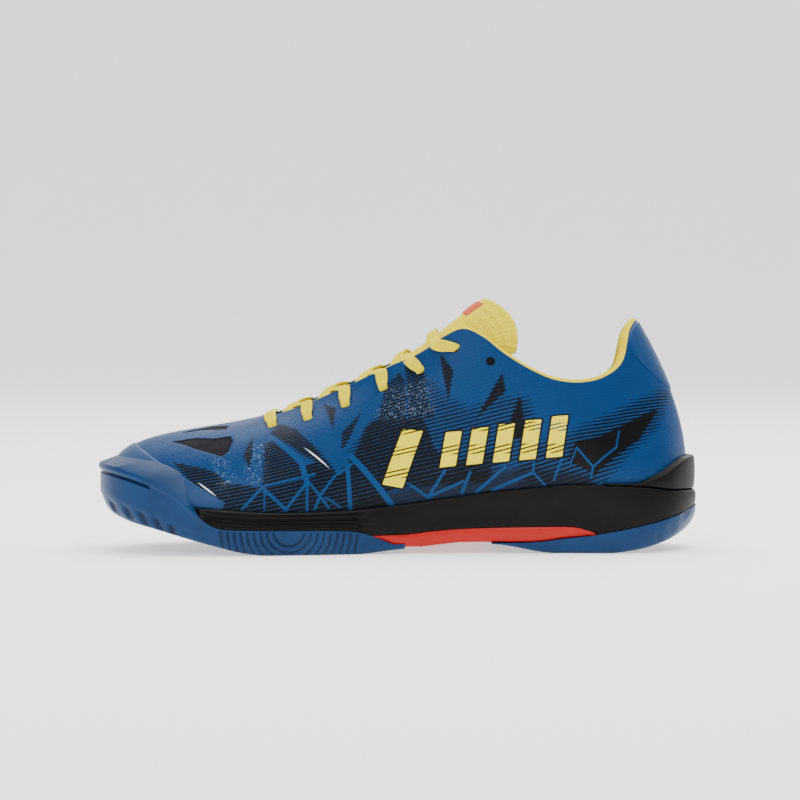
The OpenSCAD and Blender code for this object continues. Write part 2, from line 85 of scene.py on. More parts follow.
# ---------------------------------------------------------------- floor and light
# A white paper sweep in a studio, a broad soft box overhead and smaller ones before and behind.
# Finishes are node materials, written as Python sums on the sockets of their nodes.
class Signal:
    """A shader socket that can be written in a sum."""

    def __init__(self, finish, socket):
        self.finish, self.socket = finish, socket

    def do(self, operation, *others):
        return self.finish.node("Math", {"operation": operation}, [self, *others])

    def __add__(self, other):
        return self.do("ADD", other)

    def __mul__(self, other):
        return self.do("MULTIPLY", other)

    def __sub__(self, other):
        return self.do("SUBTRACT", other)

    def __rsub__(self, other):
        return self.finish.node("Math", {"operation": "SUBTRACT"}, [other, self])

    def __truediv__(self, other):
        return self.do("DIVIDE", other)

    __radd__, __rmul__ = __add__, __mul__

    def soft(self, low, high):
        """0 below low and 1 above high, smooth between; low may be the greater."""
        return self.finish.node("MapRange", {"interpolation_type": "SMOOTHSTEP"},
                                {"Value": self, "From Min": low, "From Max": high})

    def wave(self, pitch):
        """Distance in this signal's own units from the nearest multiple of pitch."""
        return self.finish.node("Math", {"operation": "PINGPONG"}, [self, pitch / 2])


class Finish:
    """A material in the making: one shader, and the nodes that drive it."""

    def __init__(self, name, **constants):
        self.material = bpy.data.materials.new(name)
        self.material.use_nodes = True
        self.tree = self.material.node_tree
        self.shader = next(n for n in self.tree.nodes if n.type == "BSDF_PRINCIPLED")
        for socket, value in constants.items():
            self.shader.inputs[socket.replace("_", " ")].default_value = value

    def plug(self, node, inputs):
        pairs = enumerate(inputs) if isinstance(inputs, (list, tuple)) else inputs.items()
        for key, value in pairs:
            if isinstance(value, Signal):
                self.tree.links.new(value.socket, node.inputs[key])
            else:
                node.inputs[key].default_value = value

    def node(self, kind, settings=None, inputs=(), out=0):
        node = self.tree.nodes.new("ShaderNode" + kind)
        for key, value in (settings or {}).items():
            setattr(node, key, value)
        self.plug(node, inputs)
        return Signal(self, node.outputs[out])

    def place(self):
        return self.node("TexCoord", out="Object")

    def axis(self, name, point=None):
        return self.node("SeparateXYZ", {}, [point or self.place()], name)

    def noise(self, scale, detail=2, roughness=0.5):
        return self.node("TexNoise", {}, {"Vector": self.place(), "Scale": scale,
                                          "Detail": detail, "Roughness": roughness})

    def mix(self, amount, a, b):
        """Colour a where amount is 0, b where it is 1."""
        return self.node("Mix", {"data_type": "RGBA"}, {0: amount, 6: a, 7: b}, 2)

    def between(self, amount, a, b):
        """The number a where amount is 0, b where it is 1."""
        return a + (b - a) * amount

    def drive(self, **sockets):
        self.plug(self.shader, {name.replace("_", " "): v for name, v in sockets.items()})
        return self.material

    def bump(self, height, depth, strength):
        """A surface relief: height runs from 0 to 1 over depth metres."""
        return self.node("Bump", {}, {"Height": height, "Distance": depth, "Strength": strength})


def soft_box(name, place, size, power, towards):
    light = bpy.data.objects.new(name, bpy.data.lights.new(name, "AREA"))
    light.data.shape, light.data.size, light.data.size_y = "RECTANGLE", *size
    light.data.energy = power
    light.location = place
    light.rotation_mode = "QUATERNION"
    light.rotation_quaternion = (Vector(towards) - Vector(place)).to_track_quat("-Z", "Y")
    bpy.context.collection.objects.link(light)


# the sweep runs flat under the shoe, then curves up behind it
bend = np.linspace(0, math.pi / 2, 40)
profile = [(-6, 0), (2, 0), *zip(2 + 1.2 * np.sin(bend), 1.2 - 1.2 * np.cos(bend)), (3.2, 6)]
mesh = bpy.data.meshes.new("floor")
mesh.from_pydata([(x, y, z) for y, z in profile for x in (-7, 7)], [],
                 [(2*i, 2*i + 1, 2*i + 3, 2*i + 2) for i in range(len(profile) - 1)])
mesh.shade_smooth()
floor = bpy.data.objects.new("floor", mesh)
bpy.context.collection.objects.link(floor)
f = Finish("studio_floor", Roughness=0.9, Specular_IOR_Level=0.1, Emission_Strength=0.75)
paper = f.mix(f.noise(3, 2), (0.93, 0.93, 0.93, 1), (0.95, 0.95, 0.95, 1))
f.drive(Base_Color=paper, Emission_Color=paper)
floor.data.materials.append(f.material)
soft_box("overhead_box", (0.1, 0.15, 1.2), (1.6, 1.1), 27, (0, 0, 0))
soft_box("front_box", (-0.5, -1.6, 0.9), (1.2, 0.9), 15, (0, 0, 0.05))
soft_box("back_box", (0.5, 1.3, 0.9), (1.2, 0.6), 9, (0, 0, 0.05))
world = bpy.data.worlds.new("studio")
world.use_nodes = True
world.node_tree.nodes["Background"].inputs["Color"].default_value = (1, 1, 1, 1)
world.node_tree.nodes["Background"].inputs["Strength"].default_value = 0.62
bpy.context.scene.world = world


# ---------------------------------------------------------------- rubber outsole, front
# Compression-moulded gum rubber in blue. It is a tread plate with rounded edges that climbs up
# the toe as a thin wrap with a rolled bead, a slit under the bead, and rings moulded in the side.

# Every piece is drawn round the sole's edge: station 0 is the toe, 12 the heel, and the inner side
# comes first. A table gives each height along the length. Lengths are in millimetres.
def spline(points, u, closed=True):
    """The smooth curve through the points, at places u counted in points."""
    p, u = np.asarray(points, float), np.asarray(u, float)
    n = len(p)
    i = np.floor(u).astype(int) if closed else np.clip(np.floor(u).astype(int), 0, n - 2)
    wrap = (lambda k: k % n) if closed else (lambda k: np.clip(k, 0, n - 1))
    a, b, c, d = (p[wrap(i + k)] for k in (-1, 0, 1, 2))
    t = (u - i)[..., None]
    return 0.5 * (2*b + (c - a)*t + (2*a - 5*b + 4*c - d)*t**2 + (3*b - a - 3*c + d)*t**3)


def along(table, x):
    """The height that a table of (x, height) gives at x, smooth between its rows."""
    t = np.asarray(table, float)
    x = np.clip(x, t[0, 0], t[-1, 0])
    i = np.clip(np.searchsorted(t[:, 0], x, side="right") - 1, 0, len(t) - 2)
    lo, hi = np.maximum(np.arange(len(t)) - 1, 0), np.minimum(np.arange(len(t)) + 1, len(t) - 1)
    slope = (t[hi, 1] - t[lo, 1]) / (t[hi, 0] - t[lo, 0])
    h = t[i + 1, 0] - t[i, 0]
    w = (x - t[i, 0]) / h
    return ((2*w**3 - 3*w**2 + 1) * t[i, 1] + (w**3 - 2*w**2 + w) * h * slope[i]
            + (3*w**2 - 2*w**3) * t[i + 1, 1] + (w**3 - w**2) * h * slope[i + 1])


def ramp(a, b, x):
    """0 up to a, 1 from b, and smooth between."""
    w = np.clip((np.asarray(x, float) - a) / (b - a), 0, 1)
    return w * w * (3 - 2*w)


def unit(v):
    return v / np.maximum(np.linalg.norm(v, axis=-1, keepdims=True), 1e-12)


SOLE_EDGE = [[-148, -7, -7], [-143.5, -26, 11], [-132, -39.5, 26.5], [-113, -48.5, 38.5],
             [-88, -53, 47.5], [-60, -52.5, 52.3], [-28, -46.5, 53], [6, -39.5, 48.5],
             [42, -36.5, 43.5], [78, -37.5, 41.5], [110, -38.5, 39.5], [136, -28, 28],
             [148, 0, 0]]
LAST = 24
edge_loop = [[x, a] for x, a, b in SOLE_EDGE] + [[x, b] for x, a, b in SOLE_EDGE[11:0:-1]]


def edge(s):
    return spline(edge_loop, s)


def outward(s):
    s = np.asarray(s, float)
    t = edge(s + 0.02) - edge(s - 0.02)
    return unit(np.stack([t[..., 1], -t[..., 0]], -1))


def at(table, s):
    return along(table, edge(s)[..., 0])


def beside(s, off, z):
    """A point off outwards of the sole's edge, at height z."""
    s, off, z = np.broadcast_arrays(np.asarray(s, float), off, z)
    e = edge(s) + outward(s) * off[..., None]
    return np.stack([e[..., 0], e[..., 1], z], -1)


def evenly(a, b, step):
    """Stations from a to b about step millimetres apart round the edge."""
    s = np.linspace(a, b, 4000)
    length = np.concatenate([[0], np.cumsum(np.linalg.norm(np.diff(edge(s), axis=0), axis=1))])
    return np.interp(np.linspace(0, length[-1], max(2, round(length[-1] / step))), length, s)


# The upper is a lasted shape: ribs that rise from the footbed to the top edge, one per station.
FOOTBED = [[-148, 30.5], [-142, 28.6], [-136, 25.6], [-128, 22], [-110, 17.5], [-90, 14.5],
           [-70, 13], [-40, 13.2], [-10, 15.5], [20, 18.5], [50, 21.5], [80, 23.5],
           [110, 24.5], [148, 25.5]]
INSET = [[-148, 5.4], [-60, 5], [80, 5.2], [148, 6]]
TOP_EDGE = [[-69, 0, 65.6], [-68.5, 5, 65.7], [-67, 9.5, 66], [-63.5, 12.8, 66.6],
            [-58, 14.6, 68], [-51.5, 15.8, 70.2], [-44.5, 16.8, 73], [-37, 17.8, 76],
            [-29, 18.8, 79.5], [-20.5, 19.8, 83.5], [-12, 20.8, 87.5], [-3, 22, 91.6],
            [6, 23.3, 95.2], [14.5, 24.8, 100], [23, 26.3, 106], [32, 27.8, 109.4],
            [41.5, 29.3, 105.4], [51.5, 30.6, 97.6], [63, 31.4, 90.4], [76, 31.4, 84.7],
            [89.5, 29.8, 83.2], [101.5, 26.4, 86], [110.4, 20.6, 93.3], [114.4, 11.2, 108],
            [118.3, 0, 113.4]]
FULLNESS = [[31, 4.5, 41, 9.4], [27, 3, 34, 11], [26, 3.5, 22, 12], [26, 4, 16, 13],
            [26, 4, 14, 17], [26, 4, 12, 21], [26, 4, 10, 25], [27, 4.5, 8, 28],
            [28, 5, 6, 28], [25, 6, 4.5, 26], [24, 7, 4, 24], [26, 7, 5, 26], [32, 6, 13, 22]]
OUTER_ANKLE_DROP = 3
k = np.arange(25)
fall = OUTER_ANKLE_DROP * ramp(14, 18, k) * (1 - ramp(21, 24, k))
top_loop = [[x, -y, z] for x, y, z in TOP_EDGE] + [[x, y, z - fall[23 - i]] for i, (x, y, z)
                                                   in enumerate(TOP_EDGE[23:0:-1])]
full_loop = FULLNESS + FULLNESS[11:0:-1]


def on(table, s, off, rise=0.0):
    """A point off outwards of the sole's edge, at the height that the table gives there."""
    p = beside(s, off, 0.0)
    p[..., 2] = along(table, p[..., 0]) + rise
    return p


def rib(s, v):
    """A point of the upper: v is 0 at the footbed and 1 at the top edge."""
    s, v = np.broadcast_arrays(np.asarray(s, float), np.asarray(v, float))
    out = np.concatenate([outward(s), 0 * s[..., None]], -1)
    foot, top, full = on(FOOTBED, s, -at(INSET, s)), spline(top_loop, 2*s), spline(full_loop, s)
    rise, flare, reach, hang = (full[..., i, None] for i in range(4))
    w, v, up = (1 - v)[..., None], v[..., None], np.array([0, 0, 1.0])
    return (w**3 * foot + 3*w*w*v * (foot + out*flare + up*rise)
            + 3*w*v*v * (top + out*reach - up*hang) + v**3 * top)


def facing(s, v):
    h = 0.02
    along_rib = rib(s, np.minimum(v + h, 1)) - rib(s, np.maximum(v - h, 0))
    return unit(np.cross(rib(s + h, v) - rib(s - h, v), along_rib))


def skin(s, v, off=0.0):
    """A point of the upper, off outwards of its outer face."""
    return rib(s, v) + facing(s, v) * np.asarray(off, float)[..., None]


def rib_place(s, reached):
    """The place on each rib where reached(point) turns true, going up."""
    a, b = np.zeros(np.shape(s)), np.ones(np.shape(s))
    for _ in range(18):
        m = (a + b) / 2
        passed = reached(rib(s, m))
        a, b = np.where(passed, a, m), np.where(passed, m, b)
    return (a + b) / 2


def rib_at_height(s, z):
    return rib_place(s, lambda p: p[..., 2] >= z)


SHARP = 0.8


def add_piece(name, points, faces, material, body, gap=0.00002):
    mesh = bpy.data.meshes.new(name)
    mesh.from_pydata((np.asarray(points, float).reshape(-1, 3) * MM).tolist(), [], faces)
    mesh.materials.append(material)
    piece = bpy.data.objects.new(name, mesh)
    weld(piece, gap)
    bpy.context.collection.objects.link(piece)
    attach(piece, body)
    return piece


def sheet_faces(n, m, loop_n=False, loop_m=False):
    """Quads of an n by m grid of points; a loop joins the last row or column to the first."""
    i, j = np.meshgrid(np.arange(n if loop_n else n - 1), np.arange(m if loop_m else m - 1), indexing="ij")
    a, b = i*m + j, i*m + (j + 1) % m
    c, d = (i + 1) % n * m + (j + 1) % m, (i + 1) % n * m + j
    return np.stack([a, b, c, d], -1).reshape(-1, 4).tolist()


def tube_faces(ring):
    """Faces of a loft of closed rings, with both ends capped."""
    n, m = ring.shape[:2]
    return sheet_faces(n, m, loop_m=True) + [list(range(m)), list(range((n - 1) * m, n * m))]


def end_faces(n, m):
    """Closes both ends of a loft whose rings run along a path and back."""
    faces = []
    for j in range(m // 2 - 1):
        faces.append([j, m - 1 - j, m - 2 - j, j + 1])
        k = (n - 1) * m
        faces.append([k + j, k + j + 1, k + m - 2 - j, k + m - 1 - j])
    return faces


def weld(piece, gap):
    """Joins points that meet, such as where the two sides of the sole meet at the toe."""
    work = bmesh.new()
    work.from_mesh(piece.data)
    if gap:
        bmesh.ops.remove_doubles(work, verts=work.verts, dist=gap)
        bmesh.ops.dissolve_degenerate(work, edges=work.edges, dist=gap / 10)
    bmesh.ops.recalc_face_normals(work, faces=work.faces)
    work.to_mesh(piece.data)
    work.free()
    piece.data.shade_smooth()
    piece.data.set_sharp_from_angle(angle=SHARP)


def note(piece, name, values):
    """Keeps a number or a vector at every point of a piece, for its material to read."""
    values = np.asarray(values, np.float32)
    kind, key = ("FLOAT", "value") if values.ndim == 1 else ("FLOAT_VECTOR", "vector")
    piece.data.attributes.new(name, kind, "POINT").data.foreach_set(key, values.ravel())


def points_of(piece):
    flat = np.empty(len(piece.data.vertices) * 3)
    piece.data.vertices.foreach_get("co", flat)
    return flat.reshape(-1, 3) / MM


def rubber(name, light, dark, rough):
    """Moulded rubber: a faint mottle, a fine grain and dull patches, and painted shade in its engraved lines."""
    f = Finish(name, Specular_IOR_Level=0.2)
    mottle = f.noise(60, 4)
    grain = f.noise(2400, 3)
    shade = f.mix(mottle.soft(0.3, 0.7), dark, light)
    # painted shade: the engraved lines are darkened in the base colour, standing for the shade that falls in them
    line = f.node("Attribute", {"attribute_name": "line"}, out=2)
    return f.drive(Base_Color=f.mix(line * 0.75, shade, (0.0, 0.004, 0.022, 1)),
                   Roughness=rough + (f.noise(220, 3) - 0.5) * 0.16, Normal=f.bump(grain, 0.00006, 0.5))


# heights under the sole, of the rubber's top edge, and the rounding of its lower edge
GROUND = [[-148, 27], [-145, 22.5], [-140, 18.8], [-130, 15], [-118, 12], [-104, 8.2],
          [-90, 4.6], [-78, 1.6], [-66, 0], [-60, 0], [0, 0], [8, 0.4], [20, 2.6],
          [32, 4.3], [45, 4.6], [56, 3.2], [66, 1.2], [76, 0], [104, 0], [114, 1],
          [124, 3], [133, 6.2], [140, 10.5], [145, 16], [148, 21]]
RUBBER_TOP = [[-148, 43.5], [-140, 42.5], [-130, 40], [-120, 36.5], [-110, 31.5],
              [-104, 26.5], [-99, 21.5], [-94, 16.6], [-89, 13.8], [-82, 12.7],
              [-60, 12.3], [-26, 11.7], [-18, 10.6], [-12, 8.8], [-5, 5.8], [3, 3.4],
              [40, 5], [55, 5.2], [67, 5.6], [80, 7.2], [95, 9], [110, 11.6],
              [120, 13.6], [130, 16], [140, 19], [148, 22]]
EDGE_ROUND = [[-148, 10], [-130, 8], [-100, 5], [-70, 3.5], [60, 3.5], [110, 5], [135, 8], [148, 10]]
WRAP, TREAD = 3, 4.5
FORE_END, HEEL_FROM = 6.92, 8.1
blue_rubber = rubber("blue_gum_rubber", (0.0, 0.030, 0.104, 1), (0.0, 0.022, 0.082, 1), 0.42)


def ground(s, off):
    return np.maximum(along(GROUND, beside(s, off, 0)[..., 0]), 0)


def sole_walls(s, rows, rounding):
    """The wall from its top down, and the rounded edge below it, in an (n, rows, 3) grid."""
    s = s[:, None]
    e, top = at(EDGE_ROUND, s), at(RUBBER_TOP, s)
    low = ground(s, -e)
    corner = np.minimum(low + 1.4*e, top - 0.4)
    down = np.linspace(0, 1, rows)[None, :]
    wall = beside(s, 0 * down, top + (corner - top) * down)
    turn = np.linspace(0, math.pi / 2, rounding + 1)[None, 1:]
    under = beside(s, -e * (1 - np.cos(turn)), corner - (corner - low) * np.sin(turn))
    return np.concatenate([wall, under], 1)


def groove(distance, width, soft=0.35):
    """1 in the middle of a groove of this width, 0 outside it."""
    return 1 - ramp(width/2 - soft, width/2 + soft, np.abs(distance))


def grid_normals(p):
    """Normals of an (n, m, 3) grid of points."""
    return unit(np.cross(np.gradient(p, axis=1), np.gradient(p, axis=0)))


def tread_depth(x, y, edge_gap, pivot, pitch):
    """Depth of the moulded tread: rings about a pivot point, herringbone round them, a plain rim."""
    r = np.hypot(x - pivot[0], y - pivot[1])
    zigzag = x + 3.4 * np.abs((y / 11 + 0.5) % 1 * 2 - 1)
    chevrons = groove((zigzag + pitch/2) % pitch - pitch/2, 1.5)
    rings = groove((r + 2.1) % 4.2 - 2.1, 1.3)
    inside = 1 - ramp(22.6, 23.0, r)
    depth = np.where(inside > 0.5, rings, chevrons) * 1.3
    depth = np.maximum(depth, groove(r - 23.6, 2.2) * 1.5)
    depth = np.maximum(depth, groove((y - pivot[1] * 0.4) % 22 - 11, 1.4) * (1 - inside) * 1.1)
    return depth * ramp(5.2, 6.0, edge_gap) + groove(edge_gap - 5.2, 1.2) * 0.9


def side_rings(x, z, down):
    """Rings engraved in the side below the ball, from the pivot point outwards."""
    r = np.hypot(x + 53, z - 12.3)
    return groove((r - 7.5 + 1.6) % 3.2 - 1.6, 1.0) * (r > 6.2) * (r < 35) * (down > 0.9)


def toe_slit(x, down):
    return groove(down - 4.1, 1.2) * (1 - ramp(-123, -120, x))


def toe_lugs(x, y, z):
    """Short notches round the lower edge of the toe wrap, and fainter ones behind the heel."""
    e = along(EDGE_ROUND, x)
    up = z - along(GROUND, x + e * ramp(-120, -146, x)) - 1.3 * e
    fade = 1 - ramp(-108, -102, x) + 0.4 * ramp(124, 128, x)
    along_edge = (x + 1.6*np.sign(y) + 0.6*up) % 7.4 - 3.7
    return groove(along_edge, 3.4, 0.6) * ramp(-2.2, -3.8, up) * ramp(-8.5, -7, up) * fade


def outsole(name, stations, pivot, pinch_first, node):
    cols, rows, rounding = 150, 46, 14
    far, near = sole_walls(LAST - stations, rows, rounding), sole_walls(stations, rows, rounding)
    w = np.linspace(0, 1, cols + 2)[None, 1:-1, None]
    bottom = far[:, -1:] * (1 - w) + near[:, -1:] * w
    bottom[..., 2] = np.maximum(along(GROUND, bottom[..., 0]), 0)
    outer = np.concatenate([far, bottom, near[:, ::-1]], 1)
    # the front plate thins out towards its rear end
    low = 1 - ramp(2.5, 5, outer[..., 2])
    outer[..., 2] += 2.3 * ramp(-22, 5, outer[..., 0]) * (outer[..., 0] < 20) * low
    s = stations[:, None]
    lift = []
    for q in (s, LAST - s):
        e, top = at(EDGE_ROUND, q), at(RUBBER_TOP, q)
        land = ramp(-92, -98, edge(q)[..., :1])
        rise = 3.4 * ramp(-104, -122, edge(q)[..., :1])[..., 0]
        joined = skin(q, rib_at_height(q, top - 0.8 + rise), 0.2 + 0.16 * rise)
        side = [beside(q, -WRAP, top) * (1 - land) + joined * land]
        for k, off in ((1, -WRAP - 0.4), (2, -WRAP - e/2), (3, -WRAP - e)):
            floor = np.minimum(ground(q, off) + TREAD, top)
            corner = np.minimum(ground(q, -e) + 1.4*e, top - 0.4)
            side.append(beside(q, off, np.maximum(corner, floor) if k == 1 else floor))
        lift.append(np.concatenate(side, 1))
    inner = np.concatenate([lift[0], lift[1][:, ::-1]], 1)
    n, m = len(stations), outer.shape[1]
    normal = grid_normals(outer)
    out = -np.sign(np.mean(normal[:, m // 2, 2]))
    x, y, z = outer[..., 0], outer[..., 1], outer[..., 2]
    q = np.concatenate([np.repeat((LAST - s), far.shape[1], 1), np.repeat(s, cols + near.shape[1], 1)], 1)
    top = at(RUBBER_TOP, q)
    down = top - z
    column = np.arange(m)[None, :]
    on_wall = (column < rows) | (column >= m - rows)
    on_floor = (column >= rows + rounding) & (column < m - rows - rounding)
    rings = side_rings(x, z, down) * 0.6
    wrap_zone = 1 - ramp(-101, -96, x)
    slit = toe_slit(x, down) * 1.1
    bead = groove(down - 1.7, 2.6, 1.0) * wrap_zone * 0.7
    gap = np.minimum(np.linalg.norm(outer - outer[:, rows + rounding - 1][:, None], axis=-1),
                     np.linalg.norm(outer - outer[:, m - rows - rounding][:, None], axis=-1))
    tread = tread_depth(x, y, gap, pivot, 6.2)
    lugs = toe_lugs(x, y, z) * 1.2
    depth = np.where(on_floor, tread, np.where(on_wall, rings + slit - bead, rings) + lugs)
    outer = outer - out * normal * depth[..., None]
    ring = np.concatenate([outer, inner], 1)
    m_all = ring.shape[1]
    faces = sheet_faces(n, m_all, loop_m=True)
    last = 0 if not pinch_first else n - 1
    faces += zip_faces([last*m_all + j for j in range(m)],
                       [last*m_all + j for j in range(m_all - 1, m - 1, -1)])
    piece = add_piece(name, ring, faces, blue_rubber, "shoe")
    p = points_of(piece)
    x, y, z = p.T
    down = along(RUBBER_TOP, x) - z
    # where the engraved lines lie, for the painted shade that the rubber's material puts in them
    note(piece, "line", np.max([side_rings(x, z, down), toe_slit(x, down), toe_lugs(x, y, z)], 0))
    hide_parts(node)


def zip_faces(a, b):
    """Triangles and quads between a fine row of points and a coarse one, end to end."""
    faces, j = [], 0
    for i in range(len(a) - 1):
        k = round((i + 1) * (len(b) - 1) / (len(a) - 1))
        faces.append([a[i], a[i + 1], b[j]] if k == j else [a[i], a[i + 1], b[k], b[j]])
        j = k
    return faces


outsole("outsole_front", evenly(0, FORE_END, 0.62), (-56, -16), True, "outsole_forefoot")

# ---------------------------------------------------------------- rubber outsole, heel
# The same blue rubber, a separate plate under the heel that curls up behind it.
outsole("outsole_back", evenly(HEEL_FROM, 12, 0.62), (92, 0), False, "outsole_heel")

# ---------------------------------------------------------------- midfoot shank
# A stiff orange-red plastic plate, injection moulded. It bridges the arch between the two rubber
# plates, laps over their ends and shows at the side as a long thin lens.
SHANK_TOP = [[-12, 9.2], [-5, 9.3], [5, 9.6], [15, 10.8], [30, 12], [50, 12.6],
             [70, 13], [85, 13], [92, 11.6], [98, 9.4]]
SHANK_LOW = [[-12, 8.4], [-5, 5.8], [0, 3.6], [6, 3], [20, 4.4], [30, 5.4], [60, 5.5],
             [70, 5.9], [80, 7.4], [98, 9.2]]
SHANK_T, BOND = 2.6, 0.1


def floor_of(s, off):
    return np.minimum(ground(s, off) + TREAD, at(RUBBER_TOP, s))


def shank_low(s):
    d = np.minimum(s, LAST - s)
    lap = (d < FORE_END + 0.2) | (d > HEEL_FROM - 0.2)
    return np.maximum(at(SHANK_LOW, s), np.where(lap, floor_of(s, -7) + BOND, 0))


def half_ring(s):
    """The shank's outer path from its top edge down and under, and its inner path."""
    low = shank_low(s)
    top = np.maximum(at(SHANK_TOP, s), low + 0.8)
    w = np.linspace(0, 1, 16)[None, :]
    r = np.minimum(1.3, (top - low) / 2)
    side = beside(s, -0.4 - 0.35 * (2*w - 1)**4, top + (low + r - top) * w)
    turn = np.linspace(0, math.pi / 2, 7)[None, 1:]
    under = beside(s, -0.75 - r * (1 - np.cos(turn)), low + r - r * np.sin(turn))
    inner = [beside(s, -0.4 - SHANK_T, top), beside(s, -1 - SHANK_T, low + SHANK_T),
             beside(s, -8, low + SHANK_T)]
    return np.concatenate([side, under], 1), np.concatenate(inner, 1)


s = evenly(6.45, 9.55, 0.8)[:, None]
(far, far_in), (near, near_in) = half_ring(LAST - s), half_ring(s)
w = np.linspace(0, 1, 92)[None, 1:-1, None]
bottom = far[:, -1:] * (1 - w) + near[:, -1:] * w
x, across = bottom[..., 0], bottom[..., 1]
channel = groove((across - 0.5 + 7.5) % 15 - 7.5, 4.2, 0.8) * ramp(8, 12, x) * (1 - ramp(80, 84, x))
bottom[..., 2] += channel * 1.1
outer = np.concatenate([far, bottom, near[:, ::-1]], 1)
inner = np.concatenate([near_in, far_in[:, ::-1]], 1)
n, m, k = len(s), outer.shape[1], inner.shape[1]
faces = sheet_faces(n, m + k, loop_m=True)
for row in (0, (n - 1) * (m + k)):
    faces += zip_faces([row + j for j in range(m)], [row + j for j in range(m + k - 1, m - 1, -1)])
f = Finish("orange_plastic", Specular_IOR_Level=0.25, Coat_Roughness=0.25)
f.drive(Base_Color=f.mix(f.noise(90, 3), (0.36, 0.002, 0.0, 1), (0.43, 0.004, 0.0, 1)),
        Roughness=0.3 + f.noise(350, 3) * 0.12, Coat_Weight=0.04 + f.noise(60) * 0.06,
        Normal=f.bump(f.noise(3000, 2), 0.00003, 0.4))
shank = add_piece("shank_plate", np.concatenate([outer, inner], 1), faces, f.material,
                  "shoe")
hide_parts("midfoot_shank")

# ---------------------------------------------------------------- midsole
# Black injected foam with the footbed sunk in it as a tray. Its side is a little full under a
# rolled lip, and has moulded grooves below the ball of the foot.
MIDSOLE_TOP = [[-148, 33], [-120, 27], [-104, 23.6], [-98, 22.9], [-90, 22.7], [-80, 22],
               [-65, 21.1], [-45, 21.1], [-25, 21.7], [-8, 23], [10, 25.2], [30, 28],
               [50, 30.6], [70, 32.6], [85, 33.9], [100, 33.6], [120, 32.6],
               [135, 30.7], [148, 29.8]]
RIM_GAP = 0.7


def shank_here(s):
    d = np.minimum(s, LAST - s)
    return (d > 6.25) & (d < 9.75)


def foam_half(s):
    """The midsole's outer path from the inside of the lip down and under, and the tray's path."""
    top, rubber_top = at(MIDSOLE_TOP, s), at(RUBBER_TOP, s)
    bay = shank_here(s)
    side = -WRAP - 0.4
    wide = np.where(bay, 0, side * ramp(-4, -1.5, rubber_top - top))
    ledge = np.minimum(np.where(bay, at(SHANK_TOP, s), rubber_top) + 0.3, top - 0.6)
    w = (1 - np.cos(np.linspace(0, math.pi / 2, 84)[None, :]))
    z = top - (top - ledge) * w
    r = np.minimum(1.5, (top - ledge) / 2)
    lip = r - np.sqrt(np.maximum(r*r - np.maximum(r - (top - z), 0)**2, 0))
    share = (z - ledge) / (top - ledge)
    x = edge(s)[..., 0]
    here = ramp(-101, -93, x) * (1 - ramp(-22, -10, x))
    cuts = sum(groove((share - place) * (top - ledge), wide_cut, 0.3) * deep
               for place, wide_cut, deep in ((0.80, 0.9, 0.7), (0.56, 1.0, 0.8), (0.36, 0.9, 0.7),
                                             (0.17, 0.8, 0.5)))
    hollow = np.where(share > 0.5, 0.8 * (2*share - 1)**2, 0.5 * (1 - 2*share)**2)
    waist = 0.7 * np.exp(-((share - 0.42) / 0.3)**2) * ramp(-5, 20, x) * (1 - ramp(88, 120, x))
    wall = beside(s, wide - hollow - lip - cuts * here - waist, z)
    low = lambda off: np.where(bay, shank_low(s) + SHANK_T + BOND, floor_of(s, off) + BOND)
    e = at(EDGE_ROUND, s)
    a, b = side - e*0.2, side - e*0.7
    under = [beside(s, side, ledge - 0.05), beside(s, a, np.minimum(low(a) + 0.6, ledge - 0.1)),
             beside(s, b, low(b))]
    v, inset = rib_at_height(s, top), at(INSET, s)
    tray = [skin(s, v, RIM_GAP), skin(s, v*0.5, RIM_GAP), on(FOOTBED, s, RIM_GAP - inset, -0.05)]
    tray += [on(FOOTBED, s, -inset - d, -0.1) for d in (6, 12, 16)]
    return np.concatenate([wall, *under], 1), np.concatenate(tray, 1)


s = evenly(0, 12, 0.8)[:, None]
(far, far_in), (near, near_in) = foam_half(LAST - s), foam_half(s)
ring = np.concatenate([far, near[:, ::-1], near_in, far_in[:, ::-1]], 1)
f = Finish("black_foam", Specular_IOR_Level=0.14)
cells, cloud = f.noise(1500, 4, roughness=0.7), f.noise(45, 4)
f.drive(Base_Color=f.mix(cloud.soft(0.3, 0.75), (0.0012, 0.0008, 0.0005, 1), (0.0032, 0.0024, 0.0016, 1)),
        Roughness=0.44 + f.noise(160, 3) * 0.16, Normal=f.bump(cells, 0.00012, 0.45))
black_foam = f.material
midsole = add_piece("midsole_foam", ring, sheet_faces(len(s), ring.shape[1], loop_m=True),
                    black_foam, "shoe")
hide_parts("midsole")

# ---------------------------------------------------------------- heel cradle
# A second part of the same black foam, a low wall that cups the heel above the midsole's crease.
CRADLE_TOP = [[96, 34.2], [118, 34.6], [125, 36.8], [132, 39.6], [139, 43.4], [144, 46], [148, 46.6]]
s = evenly(9.7, LAST - 9.7, 0.8)[:, None]
low = at(MIDSOLE_TOP, s) + 0.3
high = np.maximum(at(CRADLE_TOP, s), low + 0.6)
w = (1 - np.cos(np.linspace(0, math.pi, 40)[None, :])) / 2
z = high - (high - low) * w
r = np.minimum(1.4, (high - low) / 2)
lip = sum(r - np.sqrt(np.maximum(r*r - np.maximum(r - d, 0)**2, 0)) for d in (high - z, (z - low) * 2))
outer = beside(s, -1.0 + 0.5 * np.sin(math.pi * w) * ramp(1, 8, high - low) - lip, z)
inner = [skin(s, rib_at_height(s, h), RIM_GAP) for h in (low, (low + high) / 2, high)]
ring = np.concatenate([outer, *inner], 1)
faces = tube_faces(ring)
cradle = add_piece("heel_cup", ring, faces, black_foam, "shoe")
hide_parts("heel_cradle")

